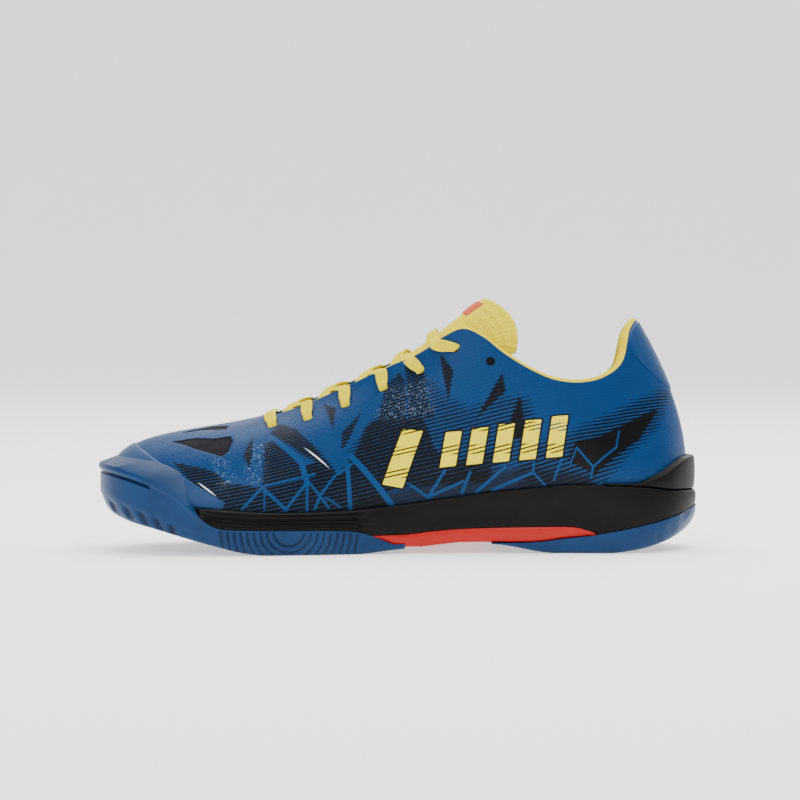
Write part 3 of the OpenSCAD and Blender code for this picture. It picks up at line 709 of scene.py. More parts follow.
# ---------------------------------------------------------------- sockliner
# A loose moulded foam insole, faced with black knitted cloth and cupped up along its edge.
BOARD, LINER = 1.5, 4.5
s = evenly(0, 12, 1.0)[:, None]
inset = at(INSET, s) + 5.4
far, near = (on(FOOTBED, q, -inset, BOARD + 0.2 + LINER) for q in (LAST - s, s))
w = np.linspace(0, 1, 90)[None, :, None]
top = far * (1 - w) + near * w
gap = np.linalg.norm(near - far, axis=-1)[..., None] * np.minimum(w, 1 - w)
top[..., 2:] = along(FOOTBED, top[..., :1]) + BOARD + 0.2 + LINER
top[..., 2:] += 1.6 * (1 - ramp(0, 14, gap)) * ramp(0, 3, gap) - 1.2 * (1 - ramp(0, 2.2, gap))
under = top[:, ::-1].copy()
under[..., 2:] = along(FOOTBED, under[..., :1]) + BOARD + 0.2
ring = np.concatenate([top, under], 1)
f = Finish("insole_cloth", Specular_IOR_Level=0.12)
point = f.place()
knit = f.axis("X", point).wave(0.0012) / 0.0006 * 0.5 + f.axis("Y", point).wave(0.0009) / 0.00045 * 0.5
fibre = knit * 0.7 + f.noise(400, 3) * 0.3
f.drive(Base_Color=f.mix(fibre, (0.003, 0.003, 0.004, 1), (0.016, 0.016, 0.02, 1)),
        Roughness=0.82 + f.noise(500) * 0.12, Normal=f.bump(knit, 0.0002, 0.7))
insole = add_piece("insole", ring, sheet_faces(len(s), ring.shape[1], loop_m=True), f.material,
                   "shoe")
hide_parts("sockliner")

# ---------------------------------------------------------------- outer skin
# The upper: thin synthetic leather with a fine pebble, printed, and pulled over the last in one
# piece. A loop of ribs from the footbed to the rounded top edge, with punched eyelets.
SKIN_T, EYELET_R = 1.2, 2.2
EYELETS = [[-62, 62.4], [-44.5, 66.2], [-26, 72.8], [-7.5, 81], [10.5, 89.6], [27.5, 100.4], [45, 94]]


def rib_through(x, side, place):
    """The stations whose ribs pass x: side is -1 for the inner side, place gives v at each station."""
    x = np.atleast_1d(np.asarray(x, float))
    a, b = np.full(x.shape, 0.05), np.full(x.shape, 11.9)
    for _ in range(20):
        m = (a + b) / 2
        s = m if side < 0 else LAST - m
        short = rib(s, place(s))[..., 0] < x
        a, b = np.where(short, m, a), np.where(short, b, m)
    return s


def place_of(x, z, side):
    """Station and place on the rib of each point x, z of one side of the upper."""
    s = rib_through(x, side, lambda q: rib_at_height(q, z))
    return s, rib_at_height(s, z)


def punch_tool():
    """Pins that stand where the eyelets are punched, as one mesh."""
    work = bmesh.new()
    for side in (-1, 1):
        for x, z in EYELETS:
            s, v = place_of(x, z, side)
            p, n = Vector(rib(s, v)[0] * MM), Vector(facing(s, v)[0])
            turn = n.to_track_quat("Z", "Y").to_matrix().to_4x4()
            turn.translation = p
            bmesh.ops.create_cone(work, cap_ends=True, segments=40, radius1=EYELET_R * MM,
                                  radius2=EYELET_R * MM, depth=0.014, matrix=turn)
    mesh = bpy.data.meshes.new("punch")
    work.to_mesh(mesh)
    work.free()
    tool = bpy.data.objects.new("punch", mesh)
    bpy.context.collection.objects.link(tool)
    return tool


def punch(piece):
    """Cuts the eyelets through a finished piece."""
    tool = punch_tool()
    cut = piece.modifiers.new("punch", "BOOLEAN")
    cut.operation, cut.solver, cut.object = "DIFFERENCE", "EXACT", tool
    bpy.context.view_layer.update()
    seen = piece.evaluated_get(bpy.context.evaluated_depsgraph_get())
    mesh = bpy.data.meshes.new_from_object(seen)
    piece.modifiers.clear()
    piece.data = mesh
    bpy.data.objects.remove(tool)


def wrap_height(p):
    """Height on the print: z on the walls, and on the vamp it goes on rising towards the midline."""
    x = p[..., 0]
    inner = along([[x, y] for x, y, _ in SOLE_EDGE], x)
    outer = along([[x, y] for x, _, y in SOLE_EDGE], x)
    return p[..., 2] + 0.75 * ((outer - inner) / 2 - np.abs(p[..., 1] - (inner + outer) / 2))


def as_printed(points):
    """Points given as x, z in side view, as x and height on the print."""
    x, z = np.array(points, float).T
    return list(zip(x.tolist(), wrap_height(rib(*place_of(x, z, -1))).tolist()))


def segment_distance(x, y, a, b):
    (ax, ay), (bx, by) = a, b
    t = np.clip(((x - ax) * (bx - ax) + (y - ay) * (by - ay)) / ((bx - ax)**2 + (by - ay)**2), 0, 1)
    return np.hypot(x - ax - t * (bx - ax), y - ay - t * (by - ay))


def inside_by(x, y, points):
    """How far inside a polygon each point lies, negative outside."""
    d, odd = np.full(x.shape, 1e9), np.zeros(x.shape, bool)
    for (ax, ay), (bx, by) in zip(points, points[1:] + points[:1]):
        d = np.minimum(d, segment_distance(x, y, (ax, ay), (bx, by)))
        cross = (ay > y) != (by > y)
        odd ^= cross & (x < (bx - ax) * (y - ay) / (by - ay + 1e-9) + ax)
    return np.where(odd, d, -d)


# windows in the vamp, as seen from the side, where dark net shows through
WINDOWS = [[(-112.5, 54), (-100, 56), (-90, 56), (-82.5, 57.2), (-81, 55), (-83, 50), (-86, 47.5), (-100, 51)],
           [(-109, 57.4), (-97, 59.3), (-89, 59.6), (-85, 60), (-84, 61.5), (-92, 60.9), (-103, 59)]]
# striped areas: how full the black stripes are, how softly they end in mm, and the outline
STRIPED = [(0.68, 1, [(-110, 44.5), (-98, 42.5), (-89, 40), (-84, 35), (-66, 33), (-66, 20), (-84, 20),
                      (-97, 31)]),
           (0.68, 1, [(-65.2, 54), (-61.5, 55), (-47.5, 43.5), (-44.5, 36), (-44.5, 20), (-66, 20), (-66, 33)]),
           (0.72, 1, [(-44.5, 36), (-46, 43), (-38, 46), (-29.6, 39.3), (-23, 47), (-3, 24), (-3, 20),
                      (-44.5, 20)]),
           (0.72, 1, [(-62.5, 58.5), (-58.6, 63), (-50, 60.5), (-46.9, 57.5), (-29.8, 38.8), (-47, 49)]),
           (0.74, 2, [(-21.2, 47.9), (-15.5, 62), (-9.4, 65.8), (3, 66), (12, 66), (17, 52), (24, 44), (46, 50),
                      (44, 36), (0, 33), (-8, 30)]),
           (0.62, 1, [(-9.4, 65.8), (-7, 79), (-4, 83.5), (0.6, 88), (3, 84), (3.4, 66)]),
           (0.62, 1, [(4.8, 66), (4.6, 84), (3.2, 91), (12, 89), (13, 78), (18, 66)]),
           (0.75, 0.6, [(-36.7, 72.4), (-30.8, 70.6), (-32, 60.7)]),
           (0.70, 0.6, [(-18.3, 68.7), (-27.8, 59.2), (-27.8, 51.2), (-24.9, 54.5)]),
           (0.78, 0.6, [(20.4, 97.4), (26.7, 89.5), (24.4, 75.6), (21.7, 88)]),
           (0.80, 0.6, [(50.7, 88.4), (52.3, 79.3), (38.4, 66.5)]),
           (0.80, 0.6, [(-71.4, 56.7), (-75.7, 48.5), (-72.7, 42.4), (-71.6, 49)]),
           (0.85, 3, [(53, 58), (59.2, 75), (60.5, 66), (66, 56)]),
           (0.95, 3, [(84, 46), (87, 54), (100, 57), (126.5, 69), (117, 56), (96, 40)]),
           (0.42, 7, [(62, 34), (60, 48), (85, 56), (112, 69), (132, 77), (124, 62), (104, 44), (96, 36)]),
           (0.34, 6, [(8, 88), (20, 76), (34, 68), (50, 74), (62, 74), (66, 50), (40, 40), (-20, 40), (-22, 50)])]
# thin lines of plain blue that cross the stripes: two ends and half the width
WEB = [(-76.1, 22.4, -66.3, 33, 0.8), (-66.3, 33, -54.6, 22, 0.9), (-65.2, 31, -65.2, 22, 0.5),
       (-62.6, 57.1, -47.5, 45, 1.3), (-47.5, 45, -44.5, 35.6, 1.4), (-64.8, 34.1, -41, 39.5, 0.8),
       (-44.5, 35.6, -44.5, 21.5, 0.7), (-44.5, 35.6, -55, 22, 0.8), (-43.3, 35.2, -34, 23, 0.7),
       (-24.9, 44, -23.5, 22, 1.1), (-30.6, 39, -38.1, 29, 0.7), (-38.1, 29, -41, 22, 0.7),
       (-23, 47.9, -3.2, 23.9, 1.5), (-35.3, 28.1, -28.2, 23, 0.6), (-29.6, 39.3, -23, 44, 0.8),
       (14.4, 27.4, 22.7, 40.6, 0.8), (14.4, 27.4, 6, 33.6, 0.7), (6, 33.6, 1, 36, 0.5),
       (14.4, 27.4, 31.5, 35.3, 0.7), (31.1, 29.6, 35, 39.7, 0.8), (38.1, 30, 52.2, 42.4, 0.8),
       (46, 30.9, 65.8, 39.7, 0.8), (65.8, 39.7, 66.3, 46, 0.6), (65.8, 39.7, 72, 33, 0.6),
       (76, 36, 80, 47, 0.6), (87, 52, 95, 42.5, 0.6), (95, 42.5, 106.5, 52, 0.6),
       (95, 42.5, 94, 37, 0.6), (106.5, 52, 108, 60, 0.5), (87, 52, 84, 44, 0.5)]
# slanting yellow bars on the side, a plain ornament
BARS = [[(-8, 34), (2, 32), (12, 60), (2, 61)]] + [
    [(x, 42 + rise), (x + 8, 42.8 + rise), (x + 11, 60 + 1.6 * rise), (x + 3, 59.4 + 1.6 * rise)]
    for x, rise in ((20, 0), (33, 1.2), (46, 2.4), (59, 3.6), (72, 4.8))]
windows = [as_printed(w) for w in WINDOWS]
striped = [(full, soft, as_printed(points)) for full, soft, points in STRIPED]
web = [(*as_printed([(a, b), (c, d)]), half) for a, b, c, d, half in WEB]
bars = [as_printed(b) for b in BARS]


def in_window(p):
    w = wrap_height(p)
    return np.max([inside_by(p[..., 0], w, points) for points in windows], 0)


s = evenly(0, LAST, 0.8)[:-1, None]
v = 1 - (1 - np.linspace(0, 1, 135)[None, :]) * 0.999
outer = skin(s, v)
outer = skin(s, v, -0.55 * ramp(-0.1, 0.9, in_window(outer)))
turn = np.linspace(0, math.pi, 9)[None, 1:-1]
up = unit(rib(s, 1.0) - rib(s, 0.97))
brim = rib(s, 1.0) + facing(s, 1.0) * (-SKIN_T/2 + SKIN_T/2 * np.cos(turn))[..., None] \
    + up * (SKIN_T/2 * np.sin(turn))[..., None]
inner = skin(s, np.linspace(1, 0, 26)[None, :], -SKIN_T)
ring = np.concatenate([outer, brim, inner], 1)
upper = add_piece("outer_skin", ring, sheet_faces(*ring.shape[:2], loop_n=True, loop_m=True),
                  bpy.data.materials.new("printed_skin"), "shoe")
punch(upper)
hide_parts("upper_skin")


p = points_of(upper)
x, w = p[:, 0], wrap_height(p)
note(upper, "print", np.stack([x, w - 0.2*x - 0.0008 * np.maximum(x - 20, 0)**2, w], -1))
note(upper, "window", in_window(p))
fills = [full * ramp(-soft, 0.4, inside_by(x, w, points)) for full, soft, points in striped]
note(upper, "fill", np.max(fills, 0))
note(upper, "web", np.max([half - segment_distance(x, w, a, b) for a, b, half in web], 0))
note(upper, "bar", np.max([inside_by(x, w, points) for points in bars], 0))
greyed = as_printed([(-24, 20), (-20, 27), (0, 32), (30, 40), (66, 43), (96, 38), (94, 30), (40, 22)])
note(upper, "grey", ramp(-2, 3, inside_by(x, w, greyed)))
glint = [inside_by(x, w, as_printed(points)) for points in (
    [(-90, 47), (-84, 46), (-80, 36), (-86, 34)], [(-72, 52), (-66, 54), (-66, 34), (-74, 36)],
    [(-10, 68), (-6, 80), (14, 84), (16, 70), (2, 66)])]
note(upper, "glint", ramp(-4, 2, np.max(glint, 0)))

f = Finish("printed_skin", Specular_IOR_Level=0.13)
upper.data.materials[0] = f.material
read = lambda name, out=2: f.node("Attribute", {"attribute_name": name}, out=out)
where = read("print", 1)
stripe = f.node("Math", {"operation": "FRACT"}, [f.axis("Y", where) / 2.0])
stripe = stripe.do("SUBTRACT", 0.5).do("ABSOLUTE") * 2
full = read("fill") + (f.noise(300, 2) - 0.5) * 0.25
black = (full * 1.18 - stripe).soft(-0.07, 0.07) * full.soft(0.06, 0.12)
in_web = read("web").soft(-0.15, 0.25)
black = black * (1 - in_web * 0.95)
faint = (0.36 - stripe).soft(0.0, 0.2) * 0.35
blue = f.mix(f.noise(35, 4) * 0.5 + faint, (0.0, 0.035, 0.126, 1), (0.0, 0.022, 0.086, 1))
grey = f.mix(stripe.soft(0.2, 0.8), (0.006, 0.008, 0.012, 1), (0.001, 0.004, 0.011, 1))
print_colour = f.mix(read("grey") * 0.85 * (1 - in_web * 0.9), blue, grey)
print_colour = f.mix(in_web * 0.6, print_colour, (0.0, 0.046, 0.160, 1))
print_colour = f.mix(black, print_colour, (0.0004, 0.0004, 0.0012, 1))
cut_band = f.node("Math", {"operation": "FRACT"}, [f.axis("Z", where) / 11.0]).soft(0.55, 0.6)
bar = read("bar").soft(-0.05, 0.2)
in_cut = (0.42 - stripe).soft(0.0, 0.12) * cut_band
halo = read("bar").soft(-1.1, -0.7) * (1 - bar)
print_colour = f.mix(halo * 0.85, print_colour, (0.0004, 0.0008, 0.002, 1))
print_colour = f.mix(bar * (1 - in_cut), print_colour, (0.82, 0.68, 0.0, 1))
# painted highlights: two thin pale streaks, tapered at both ends, where light catches raised edge lines; the
# lower one runs along the toe film's edge
for ends in ([(-48.3, 53.6), (-31.5, 40)], [(-99.5, 36.6), (-87, 27.6)]):
    (ax, ay), (bx, by) = as_printed(ends)
    length = math.hypot(bx - ax, by - ay)
    dx, dy = (bx - ax) / length, (by - ay) / length
    rx, ry = f.axis("X", where) - ax, f.axis("Z", where) - ay
    run, aside = rx * dx + ry * dy, (rx * dy - ry * dx).do("ABSOLUTE")
    taper = run.soft(0.0, length * 0.4) * run.soft(length, length * 0.6)
    print_colour = f.mix((0.5 * taper - aside - 0.12).soft(-0.1, 0.12), print_colour, (0.75, 0.8, 0.86, 1))
glint = read("glint") * f.noise(1100, 3, roughness=0.7).soft(0.56, 0.66)
print_colour = f.mix(glint * 0.55, print_colour, (0.30, 0.38, 0.46, 1))
window = read("window").soft(0.05, 0.35)
spot = f.place()
holes = [(f.axis(way, spot).wave(0.0013) / 0.00065).soft(0.3, 0.8) for way in "XY"]
net = holes[0] * holes[1]
net_colour = f.mix(net, (0.008, 0.0075, 0.012, 1), (0.0004, 0.0004, 0.001, 1))
print_colour = f.mix(window, print_colour, net_colour)
pebble = f.node("TexVoronoi", {"feature": "SMOOTH_F1"}, {"Vector": f.place(), "Scale": 950})
relief = f.between(window, pebble * 0.8 + f.noise(2500, 2) * 0.2, 1 - net)
f.drive(Base_Color=print_colour, Normal=f.bump(relief, 0.00032, 0.6),
        Roughness=f.between(window, f.between(black, 0.36 + f.noise(150, 3) * 0.1, 0.46), 0.75))

# ---------------------------------------------------------------- eyelet shade discs
# Small dark discs close the top eyelet of each side from behind, where no lace goes: painted shade, a dark sheet
# standing for the shadow in the empty hole, where the yellow lining would otherwise show through.
f = Finish("eyelet_shade_disc", Specular_IOR_Level=0.15)
f.drive(Base_Color=f.mix(f.noise(600, 3), (0.001, 0.001, 0.0015, 1), (0.006, 0.006, 0.008, 1)),
        Roughness=0.7 + f.noise(400) * 0.2, Normal=f.bump(f.noise(900, 3), 0.0001, 0.5))
for name, side in (("eyelet_shade_inner", -1), ("eyelet_shade_outer", 1)):
    s, v = place_of(*EYELETS[-1], side)
    middle, normal = skin(s, v, np.array([-0.85]))[0], facing(s, v)[0]
    aside = unit(np.cross(normal, [0, 0, 1.0]))
    turn = np.linspace(0, 2*math.pi, 41)[None, :-1, None]
    r = np.array([0.3, 1.5, 2.7, 3.0, 3.0, 2.7, 0.3])[:, None, None]
    deep = np.array([0.0, 0.0, 0.0, 0.1, 0.3, 0.35, 0.35])[:, None, None]
    ring = middle - normal * deep + r * (aside * np.cos(turn) + np.cross(normal, aside) * np.sin(turn))
    faces = tube_faces(ring)
    add_piece(name, ring, faces, f.material, "shoe")

# ---------------------------------------------------------------- toe guard and heel tab
# Films of the same leather, welded on over the skin: one round the toe, cut on a slant, and one
# on the back of the heel.
OVERLAY = 0.6
blue_film = Finish("blue_film", Specular_IOR_Level=0.25)
f = blue_film
f.drive(Base_Color=f.mix(f.noise(60, 4), (0.0, 0.028, 0.104, 1), (0.0, 0.037, 0.130, 1)),
        Roughness=0.34 + f.noise(150, 3) * 0.1, Normal=f.bump(f.noise(1600, 2), 0.00008, 0.35))


def film(name, stations, low, high, node):
    """A film between two places on each rib, with feathered edges."""
    s = stations[:, None]
    w = np.linspace(0, 1, 70)[None, :]
    v = low + (high - low) * w
    length = np.linalg.norm(rib(s, high) - rib(s, low), axis=-1)
    lift = OVERLAY * np.sqrt(np.clip(1 - (1 - np.clip(np.minimum(w, 1 - w) * length / 1.8, 0, 1))**2, 0, 1))
    end = np.minimum(np.arange(len(s)), np.arange(len(s))[::-1])[:, None] / 4.0
    lift = np.minimum(lift, OVERLAY * np.clip(end, 0, 1))
    face, back = skin(s, v, 0.06 + lift), skin(s, v, np.full(v.shape, 0.03))
    ring = np.concatenate([face, back[:, ::-1]], 1)
    faces = sheet_faces(*ring.shape[:2], loop_m=True) + end_faces(*ring.shape[:2])
    piece = add_piece(name, ring, faces, blue_film.material, "shoe")
    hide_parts(node)
    return piece


s = evenly(LAST - 4, LAST + 4, 0.9)
guard_line = lambda p: p[..., 2] + 0.58 * (p[..., 0] + 130) >= 52.3
high = np.maximum(rib_place(s[:, None], guard_line), 0.14)
film("toe_film", s, np.full(high.shape, 0.1), high, "toe_guard")
s = evenly(11.3, LAST - 11.3, 0.7)
share = np.minimum(np.abs(s - 12) / 0.7, 1)[:, None]
film("heel_film", s, 0.56 + 0.42 * share**2, np.ones(share.shape) * 0.995, "heel_tab")

# ---------------------------------------------------------------- collar lining
# A soft yellow knit that wraps a foam pad round the ankle. It bulges inwards below the top edge
# and rolls over it, so that a thin yellow line shows from outside.
STIFF, FOAM, ROLL = 1.1, 6.5, 1.9
under_skin = -SKIN_T - BOND
lining_out = under_skin - STIFF - BOND
LINING_T = 0.7
PAD_FROM = 7.8


def pad(s, v):
    d = np.minimum(s, LAST - s)
    return (FOAM * ramp(PAD_FROM, 9.6, d) * (0.75 + 0.45 * ramp(10.2, 11.2, d)) * ramp(0.3, 0.78, v)
            * (1 - 0.72 * ramp(0.86, 1, v)))


s = evenly(7, LAST - 7, 0.9)[:, None]
v = np.linspace(0.03, 1, 90)[None, :]
face_off = lining_out - 0.5 - LINING_T
wrinkle = (0.25 * np.sin(s * 9 + 3 * np.sin(s * 2.3)) * ramp(0.5, 0.8, v)
           * ramp(9, 10, np.minimum(s, LAST - s)))
face = skin(s, v, face_off - pad(s, v) + wrinkle * ramp(0.0, 3.0, pad(s, v)))
turn = np.linspace(0, math.pi, 19)[None, 1:-1, None]
up = unit(rib(s, 1.0) - rib(s, 0.97))
a, b = face[:, -1:], rib(s, 1.0) + facing(s, 1.0) * -0.15 + up * 0.5
rolled = (a + b) / 2 + (a - b) / 2 * np.cos(turn) + up * ROLL * np.sin(turn)
tucked = skin(s, np.array([[0.995]]), under_skin + 0 * s)
back = skin(s, np.linspace(0.97, 0.03, 12)[None, :], 0 * s + lining_out)
ring = np.concatenate([face, rolled, b, tucked, back], 1)
f = Finish("yellow_knit", Specular_IOR_Level=0.08)
point = f.place()
knit = f.node("TexVoronoi", {"feature": "F1"}, {"Vector": point, "Scale": 900, "Randomness": 0.35})
loops = knit.soft(0.1, 0.8) * 0.6 + f.noise(120, 3) * 0.4
f.drive(Base_Color=f.mix(loops, (0.82, 0.68, 0.0, 1), (0.62, 0.48, 0.0, 1)),
        Roughness=0.7 + f.noise(300) * 0.2, Normal=f.bump(knit, 0.00025, 0.6))
yellow_knit = f.material
faces = tube_faces(ring)
collar = add_piece("collar_pad", ring, faces, yellow_knit, "shoe")
punch(collar)
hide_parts("collar_lining", "collar_foam")

# ---------------------------------------------------------------- tongue
# A padded yellow mesh tongue sewn in at the front of the throat. It arches over the instep under
# the lace, thickens towards its free end, and folds forward above the top row of the lace.
TONGUE_CROWN = [[-76, 59.6], [-62, 64.6], [-46, 71.8], [-30, 78.8], [-14, 86], [0, 93.6],
                [12, 101.4], [22.5, 109.2], [32.5, 117.4], [41.5, 124]]
TONGUE_SECTION = [[15, 5, 2.4], [17, 9, 2.6], [18.5, 13, 2.8], [20, 15, 3], [21, 16, 3.2],
                  [22, 17.5, 3.6], [22.6, 20.5, 4.4], [23, 25.5, 6], [23.2, 31.5, 7], [21.5, 37, 5.5]]
SWEEP = math.radians(80)
TONGUE_END = len(TONGUE_CROWN) - 1


def tongue_at(u, w, deep):
    """A point of the tongue: u along it, w from -1 to 1 across, deep below its upper face."""
    u, w, deep = np.broadcast_arrays(*(np.asarray(q, float) for q in (u, w, deep)))
    k, crown = spline(TONGUE_SECTION, u, False), spline(TONGUE_CROWN, u, False)
    t = unit(spline(TONGUE_CROWN, np.minimum(u + 0.05, TONGUE_END), False)
             - spline(TONGUE_CROWN, np.maximum(u - 0.05, 0), False))
    drop = deep + (k[..., 1] - deep) * (1 - np.cos(w * SWEEP))
    beyond = ramp(7.4, 9, u) * (1.4 * (1 - w*w) + 5.6 * np.sin(math.pi * np.abs(w).clip(0, 1)**1.6)
                              - 2.5 * np.abs(w)**12)
    return np.stack([crown[..., 0] + t[..., 1]*drop + t[..., 0]*beyond, (k[..., 0] - deep) * np.sin(w * SWEEP),
                     crown[..., 1] - t[..., 0]*drop + t[..., 1]*beyond], -1)


u = np.concatenate([np.linspace(0, 8.8, 230), 8.8 + 0.2 * np.sin(np.linspace(0, math.pi/2, 14))[1:]])[:, None]
ways = np.linspace(0, 2*math.pi, 141)[None, :-1]
w = np.clip(np.cos(ways), -1, 1)
w = np.sign(w) * np.abs(w)**0.9
thick = spline(TONGUE_SECTION, u, False)[..., 2]
rim = np.sqrt(np.clip(1 - ((u - 8.8) / 0.2).clip(0, 1)**2, 0.0, 1))
half = thick/2 * (1 - 0.35*w*w) * (0.12 + 0.88*rim)
edge_round = np.sqrt(np.clip(1 - ((np.abs(w) - 0.86) / 0.14).clip(0, 1)**2, 0, 1))
quilt = 0.35 * ramp(4, 6.5, u) * (np.abs(np.sin(u * 9)) ** 0.35 - 1)
face = np.where(np.sin(ways) >= 0, 1, -1)
deep = thick/2 * (1 - 0.35*w*w) - face * (half + quilt * (np.sin(ways) > 0)) * edge_round
ring = tongue_at(u, w, deep)
f = Finish("tongue_mesh", Specular_IOR_Level=0.08)
point = f.place()
run = f.node("Attribute", {"attribute_name": "cloth"}, out=1)
cell_x, cell_y = f.axis("X", run).wave(1.5) / 0.75, f.axis("Y", run).wave(1.5) / 0.75
wide_x, wide_y = f.axis("X", run).wave(4.5) / 2.25, f.axis("Y", run).wave(4.5) / 2.25
hole = (cell_x.soft(0.3, 0.8) * cell_y.soft(0.3, 0.8) * 0.7
        + wide_x.soft(0.3, 0.0) * 0.25 + wide_y.soft(0.3, 0.0) * 0.25)
f.drive(Base_Color=f.mix(hole * 0.75 + f.noise(300, 2) * 0.2, (0.84, 0.70, 0.0, 1), (0.46, 0.35, 0.0, 1)),
        Roughness=0.66 + f.noise(300) * 0.2, Normal=f.bump(1 - hole, 0.0005, 0.7))
faces = tube_faces(ring)
tongue = add_piece("tongue_pad", ring, faces, f.material, "shoe", gap=0)
arc = spline(TONGUE_SECTION, u, False)[..., 0] * w * SWEEP
note(tongue, "cloth", np.stack(np.broadcast_arrays(u * 15, arc, 0), -1).reshape(-1, 3))
tongue.parent = None
del tongue["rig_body"]
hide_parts("tongue_lower", "tongue_end")
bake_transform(tongue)

# a woven label with a stitched border, sewn on near the top
u, w = np.linspace(7.9, 8.6, 40)[:, None], np.linspace(-0.26, 0.26, 60)[None, :]
rim = np.minimum(np.minimum(u - 7.9, 8.6 - u) * 14, np.minimum(w + 0.26, 0.26 - w) * 30)
puff = 0.55 * ramp(0, 0.9, rim) - 0.12 * groove(rim - 1.5, 0.5, 0.2)
ring = np.concatenate([tongue_at(u, w, -puff - 0.1), tongue_at(u, w, 0.25 + 0*w)[:, ::-1]], 1)
f = Finish("woven_label", Specular_IOR_Level=0.1)
ribs = f.axis("Y").wave(0.0007) / 0.00035
f.drive(Base_Color=f.mix(ribs * 0.6 + f.noise(500) * 0.4, (0.5, 0.07, 0.03, 1), (0.62, 0.14, 0.07, 1)),
        Roughness=0.6 + ribs * 0.2, Normal=f.bump(ribs, 0.00015, 0.6))
n, m = ring.shape[:2]
label = add_piece("tongue_tab", ring, sheet_faces(n, m, loop_m=True) + end_faces(n, m), f.material,
                  "tongue_top")
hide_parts("tongue_label")

# ---------------------------------------------------------------- lace and aglets
# One flat woven yellow polyester lace, about a metre long. It crosses in six rows over the
# tongue, goes down through the punched eyelets from outside, and its two tails are tucked down
# inside the shoe, each ending in a clear plastic aglet on the insole.
LACE_W, LACE_T, AGLET_R = 6, 1.4, 1.5
LACED = 6
LEAD = [0.5, 0.5, 0.5, 1, 5, 9]
TAIL = [[25.5, -24.6, 93], [23, -24.6, 84], [19, -25, 74], [13, -26, 64], [6, -27, 54],
        [-2, -27, 45], [-11, -26, 36.5], [-22, -25, 29.5], [-35, -24, 24.5], [-49, -21, 21.6],
        [-63, -16, 20.4]]
AGLET = [-84, -7, 21.4]
ON_TOP = LACE_T/2 + 0.4
UNDER = lining_out - LINING_T - ON_TOP


def at_edge(x, side, off):
    s = rib_through(x, side, lambda q: 0*q + 1.0)
    return skin(s, np.array([0.985]), np.array([off]))[0]


def through(k, side):
    """Over the edge, down on the skin to the eyelet, below it, and out under the edge."""
    x, z = EYELETS[k]
    s, v = place_of(x, z, side)
    return [at_edge(x - LEAD[k], side, ON_TOP), skin(s, v, np.array([ON_TOP]))[0],
            skin(s, v, np.array([UNDER]))[0], at_edge(x + 3, side, UNDER)]


holes = [[through(k, side) for k in range(LACED)] for side in (-1, 1)]


def strand(first):
    """Points and widths of one half of the lace, from the first row up; first is its side there."""
    points = []
    for k in range(LACED):
        here = (first + k) % 2
        a, b, c, d = holes[here][k]
        mid = (np.array(a) + b) / 2
        points += [(a, LACE_W, LACE_T), (mid, LACE_W, LACE_T), (b, LACE_W - 1.4, LACE_T + 0.7), (c, 3.7, 2.4)]
        if k < LACED - 1:
            x = (holes[0][k][3][0] + holes[0][k + 1][0][0]) / 2
            over = (k + first) % 2 == 0
            z = along(TONGUE_CROWN, x) + ON_TOP + (LACE_T + 0.4 if over else 0)
            points += [(d, LACE_W, LACE_T), (np.array([x, 0, float(z)]), LACE_W, LACE_T)]
    return points


bar_x = EYELETS[0][0] - LEAD[0]
bar = [(np.array([bar_x, 0, float(along(TONGUE_CROWN, EYELETS[0][0])) + 3.2]), LACE_W, LACE_T)]
inner_tail, outer_tail = ([(np.array([x, side * y, z]), LACE_W, LACE_T) for x, y, z in TAIL]
                          for side in (1, -1))
knots = inner_tail[::-1] + strand(1)[::-1] + bar + strand(0) + outer_tail
p = np.array([k[0] for k in knots], float)
size = np.array([k[1:] for k in knots], float)
tail = np.minimum(np.arange(len(p)), np.arange(len(p))[::-1]) < len(TAIL)
slope = along(TONGUE_CROWN, p[:, 0] + 2) - along(TONGUE_CROWN, p[:, 0] - 2)
row = np.stack([0*slope + 4, 0*slope, slope], -1)
hint = unit(np.where(tail[:, None], np.stack([0*slope + 1, 0.25 * np.sign(p[:, 1]), 0*slope], -1), row))
chord = np.linalg.norm(np.diff(p, axis=0), axis=1)
reach = np.minimum(np.append(chord, chord[-1]), np.insert(chord, 0, chord[0]))
pull = unit(np.gradient(p, axis=0)) * reach[:, None]
path, sizes, hints = [], [], []
for i, length in enumerate(chord):
    t = np.linspace(0, 1, max(2, int(length / 0.7)), endpoint=False)[:, None]
    path.append((2*t**3 - 3*t**2 + 1) * p[i] + (t**3 - 2*t**2 + t) * pull[i]
                + (3*t**2 - 2*t**3) * p[i + 1] + (t**3 - t**2) * pull[i + 1])
    ease = t * t * (3 - 2*t)
    sizes.append(size[i] + (size[i + 1] - size[i]) * ease)
    hints.append(hint[i] + (hint[i + 1] - hint[i]) * ease)
path, sizes, hints = (np.concatenate([*rows, last[None]]) for rows, last in
                      ((path, p[-1]), (sizes, size[-1]), (hints, hint[-1])))
heading = unit(np.gradient(path, axis=0))
wide = unit(hints - heading * np.sum(hints * heading, -1, keepdims=True))
thick = np.cross(heading, wide)
run = np.concatenate([[0], np.cumsum(np.linalg.norm(np.diff(path, axis=0), axis=1))])
lace_length = run[-1] * MM
pinch = 1 - 0.62 * np.exp(-np.minimum(run, run[-1] - run) / 2.5)
turn = np.linspace(0, 2*math.pi, 29)[:-1]
c, d = np.cos(turn), np.sin(turn)
across = np.sign(c) * np.abs(c)**0.75
up = np.sign(d) * np.abs(d)**0.7 * (0.8 + 0.2 * across**2)
ring = (path[:, None] + wide[:, None] * (sizes[:, :1] / 2 * pinch[:, None] * across)[..., None]
        + thick[:, None] * (sizes[:, 1:] / 2 * up)[..., None])
n, m = ring.shape[:2]
faces = tube_faces(ring)
lace = add_piece("flat_lace", ring, faces, bpy.data.materials.new("lace"), "shoe", gap=0)
note(lace, "weave", np.stack([np.repeat(run, m), np.tile(across * LACE_W/2, n), np.zeros(n*m)], -1))
f = Finish("woven_lace", Specular_IOR_Level=0.08)
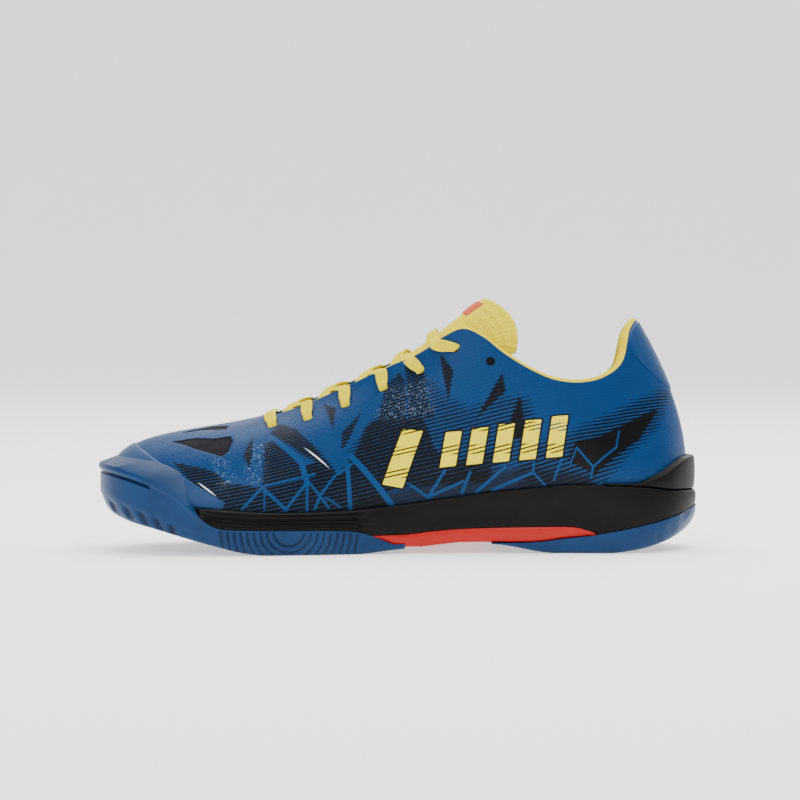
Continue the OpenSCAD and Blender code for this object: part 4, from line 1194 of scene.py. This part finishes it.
lace.data.materials[0] = f.material
where = f.node("Attribute", {"attribute_name": "weave"}, out=1)
chevron = (f.axis("X", where) + f.axis("Y", where).do("ABSOLUTE") * 0.9).wave(1.3) / 0.65
threads = (f.axis("Y", where)).wave(0.75) / 0.375
weave = chevron.soft(0.1, 0.9) * 0.65 + threads * 0.35
f.drive(Base_Color=f.mix(weave * 0.8 + f.noise(700, 2) * 0.2, (0.60, 0.46, 0.0, 1), (0.86, 0.72, 0.0, 1)),
        Roughness=0.6 + f.noise(500) * 0.15, Normal=f.bump(weave, 0.00025, 0.7))
tips = []
for name, end, side in (("aglet_inner", path[0], 1), ("aglet_outer", path[-1], -1)):
    far = np.array([AGLET[0], side * AGLET[1], AGLET[2]])
    axis = unit(far - end)
    aside = unit(np.cross(axis, [0, 0, 1.0]))
    t = np.concatenate([[0, 0.0], np.linspace(0.02, 0.97, 30), [0.99, 1.0, 1.0]])[:, None]
    r = AGLET_R * np.concatenate([[0.55, 0.93], np.full(30, 1.0), [0.9, 0.7, 0.3]])[:, None]
    r = r * (1 - 0.05 * np.exp(-((t - 0.12) / 0.02)**2) - 0.05 * np.exp(-((t - 0.2) / 0.02)**2))
    turn = np.linspace(0, 2*math.pi, 33)[None, :-1]
    ring = end + axis * (t * np.linalg.norm(far - end))[..., None] + aside * (r * np.cos(turn))[..., None] \
        + np.cross(axis, aside) * (r * np.sin(turn))[..., None]
    faces = tube_faces(ring)
    tips.append(add_piece(name, ring, faces, bpy.data.materials.new(name), "shoe"))
f = Finish("aglet_plastic", Specular_IOR_Level=0.6)
seen = f.noise(900, 3).soft(0.3, 0.7)
f.drive(Base_Color=f.mix(seen, (0.62, 0.6, 0.42, 1), (0.8, 0.8, 0.74, 1)),
        Roughness=0.16 + f.noise(400) * 0.1, Normal=f.bump(f.noise(500), 0.00006, 0.4))
for tip in tips:
    tip.data.materials[0] = f.material
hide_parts("lace")
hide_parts("aglets")
(path[0] * MM).tolist()
(path * MM).tolist()

# ---------------------------------------------------------------- layers inside the shoe
# The CAD's own layers that are bonded between the skin, the lining and the sole, each with its
# own stuff: gel, board, stiffener sheet, net, coated cloth and the dark lining of the vamp.
HIDDEN = {"gel_pad_heel": ("gel", (0.20, 0.36, 0.50), (0.30, 0.47, 0.60), 40, 0.22),
          "lasting_board": ("board", (0.66, 0.64, 0.58), (0.80, 0.78, 0.73), 260, 0.85),
          "heel_counter": ("stiffener", (0.48, 0.45, 0.36), (0.62, 0.58, 0.48), 180, 0.6),
          "eyestay_medial": ("coated_cloth", (0.006, 0.035, 0.11), (0.012, 0.06, 0.17), 500, 0.6),
          "vamp_mesh": ("dark_net", (0.006, 0.006, 0.011), (0.03, 0.03, 0.045), 900, 0.75),
          "vamp_lining": ("dark_lining", (0.010, 0.012, 0.018), (0.028, 0.032, 0.042), 700, 0.85)}
SAME = {"gel_pad_forefoot": "gel_pad_heel", "toe_puff": "heel_counter", "eyestay_lateral": "eyestay_medial"}
made = {}
for node, (name, dark, light, grain, rough) in HIDDEN.items():
    f = Finish(name, Specular_IOR_Level=0.4)
    fibre = f.noise(grain, 4, roughness=0.6)
    made[node] = f.drive(Base_Color=f.mix(fibre.soft(0.3, 0.7), (*dark, 1), (*light, 1)),
                         Roughness=rough + (f.noise(grain / 3) - 0.5) * 0.15,
                         Normal=f.bump(fibre, 0.0001, 0.5))
for node in [*HIDDEN, *SAME]:
    mesh = frame["nodes"][node].data
    mesh.materials.clear()
    mesh.materials.append(made[SAME.get(node, node)])
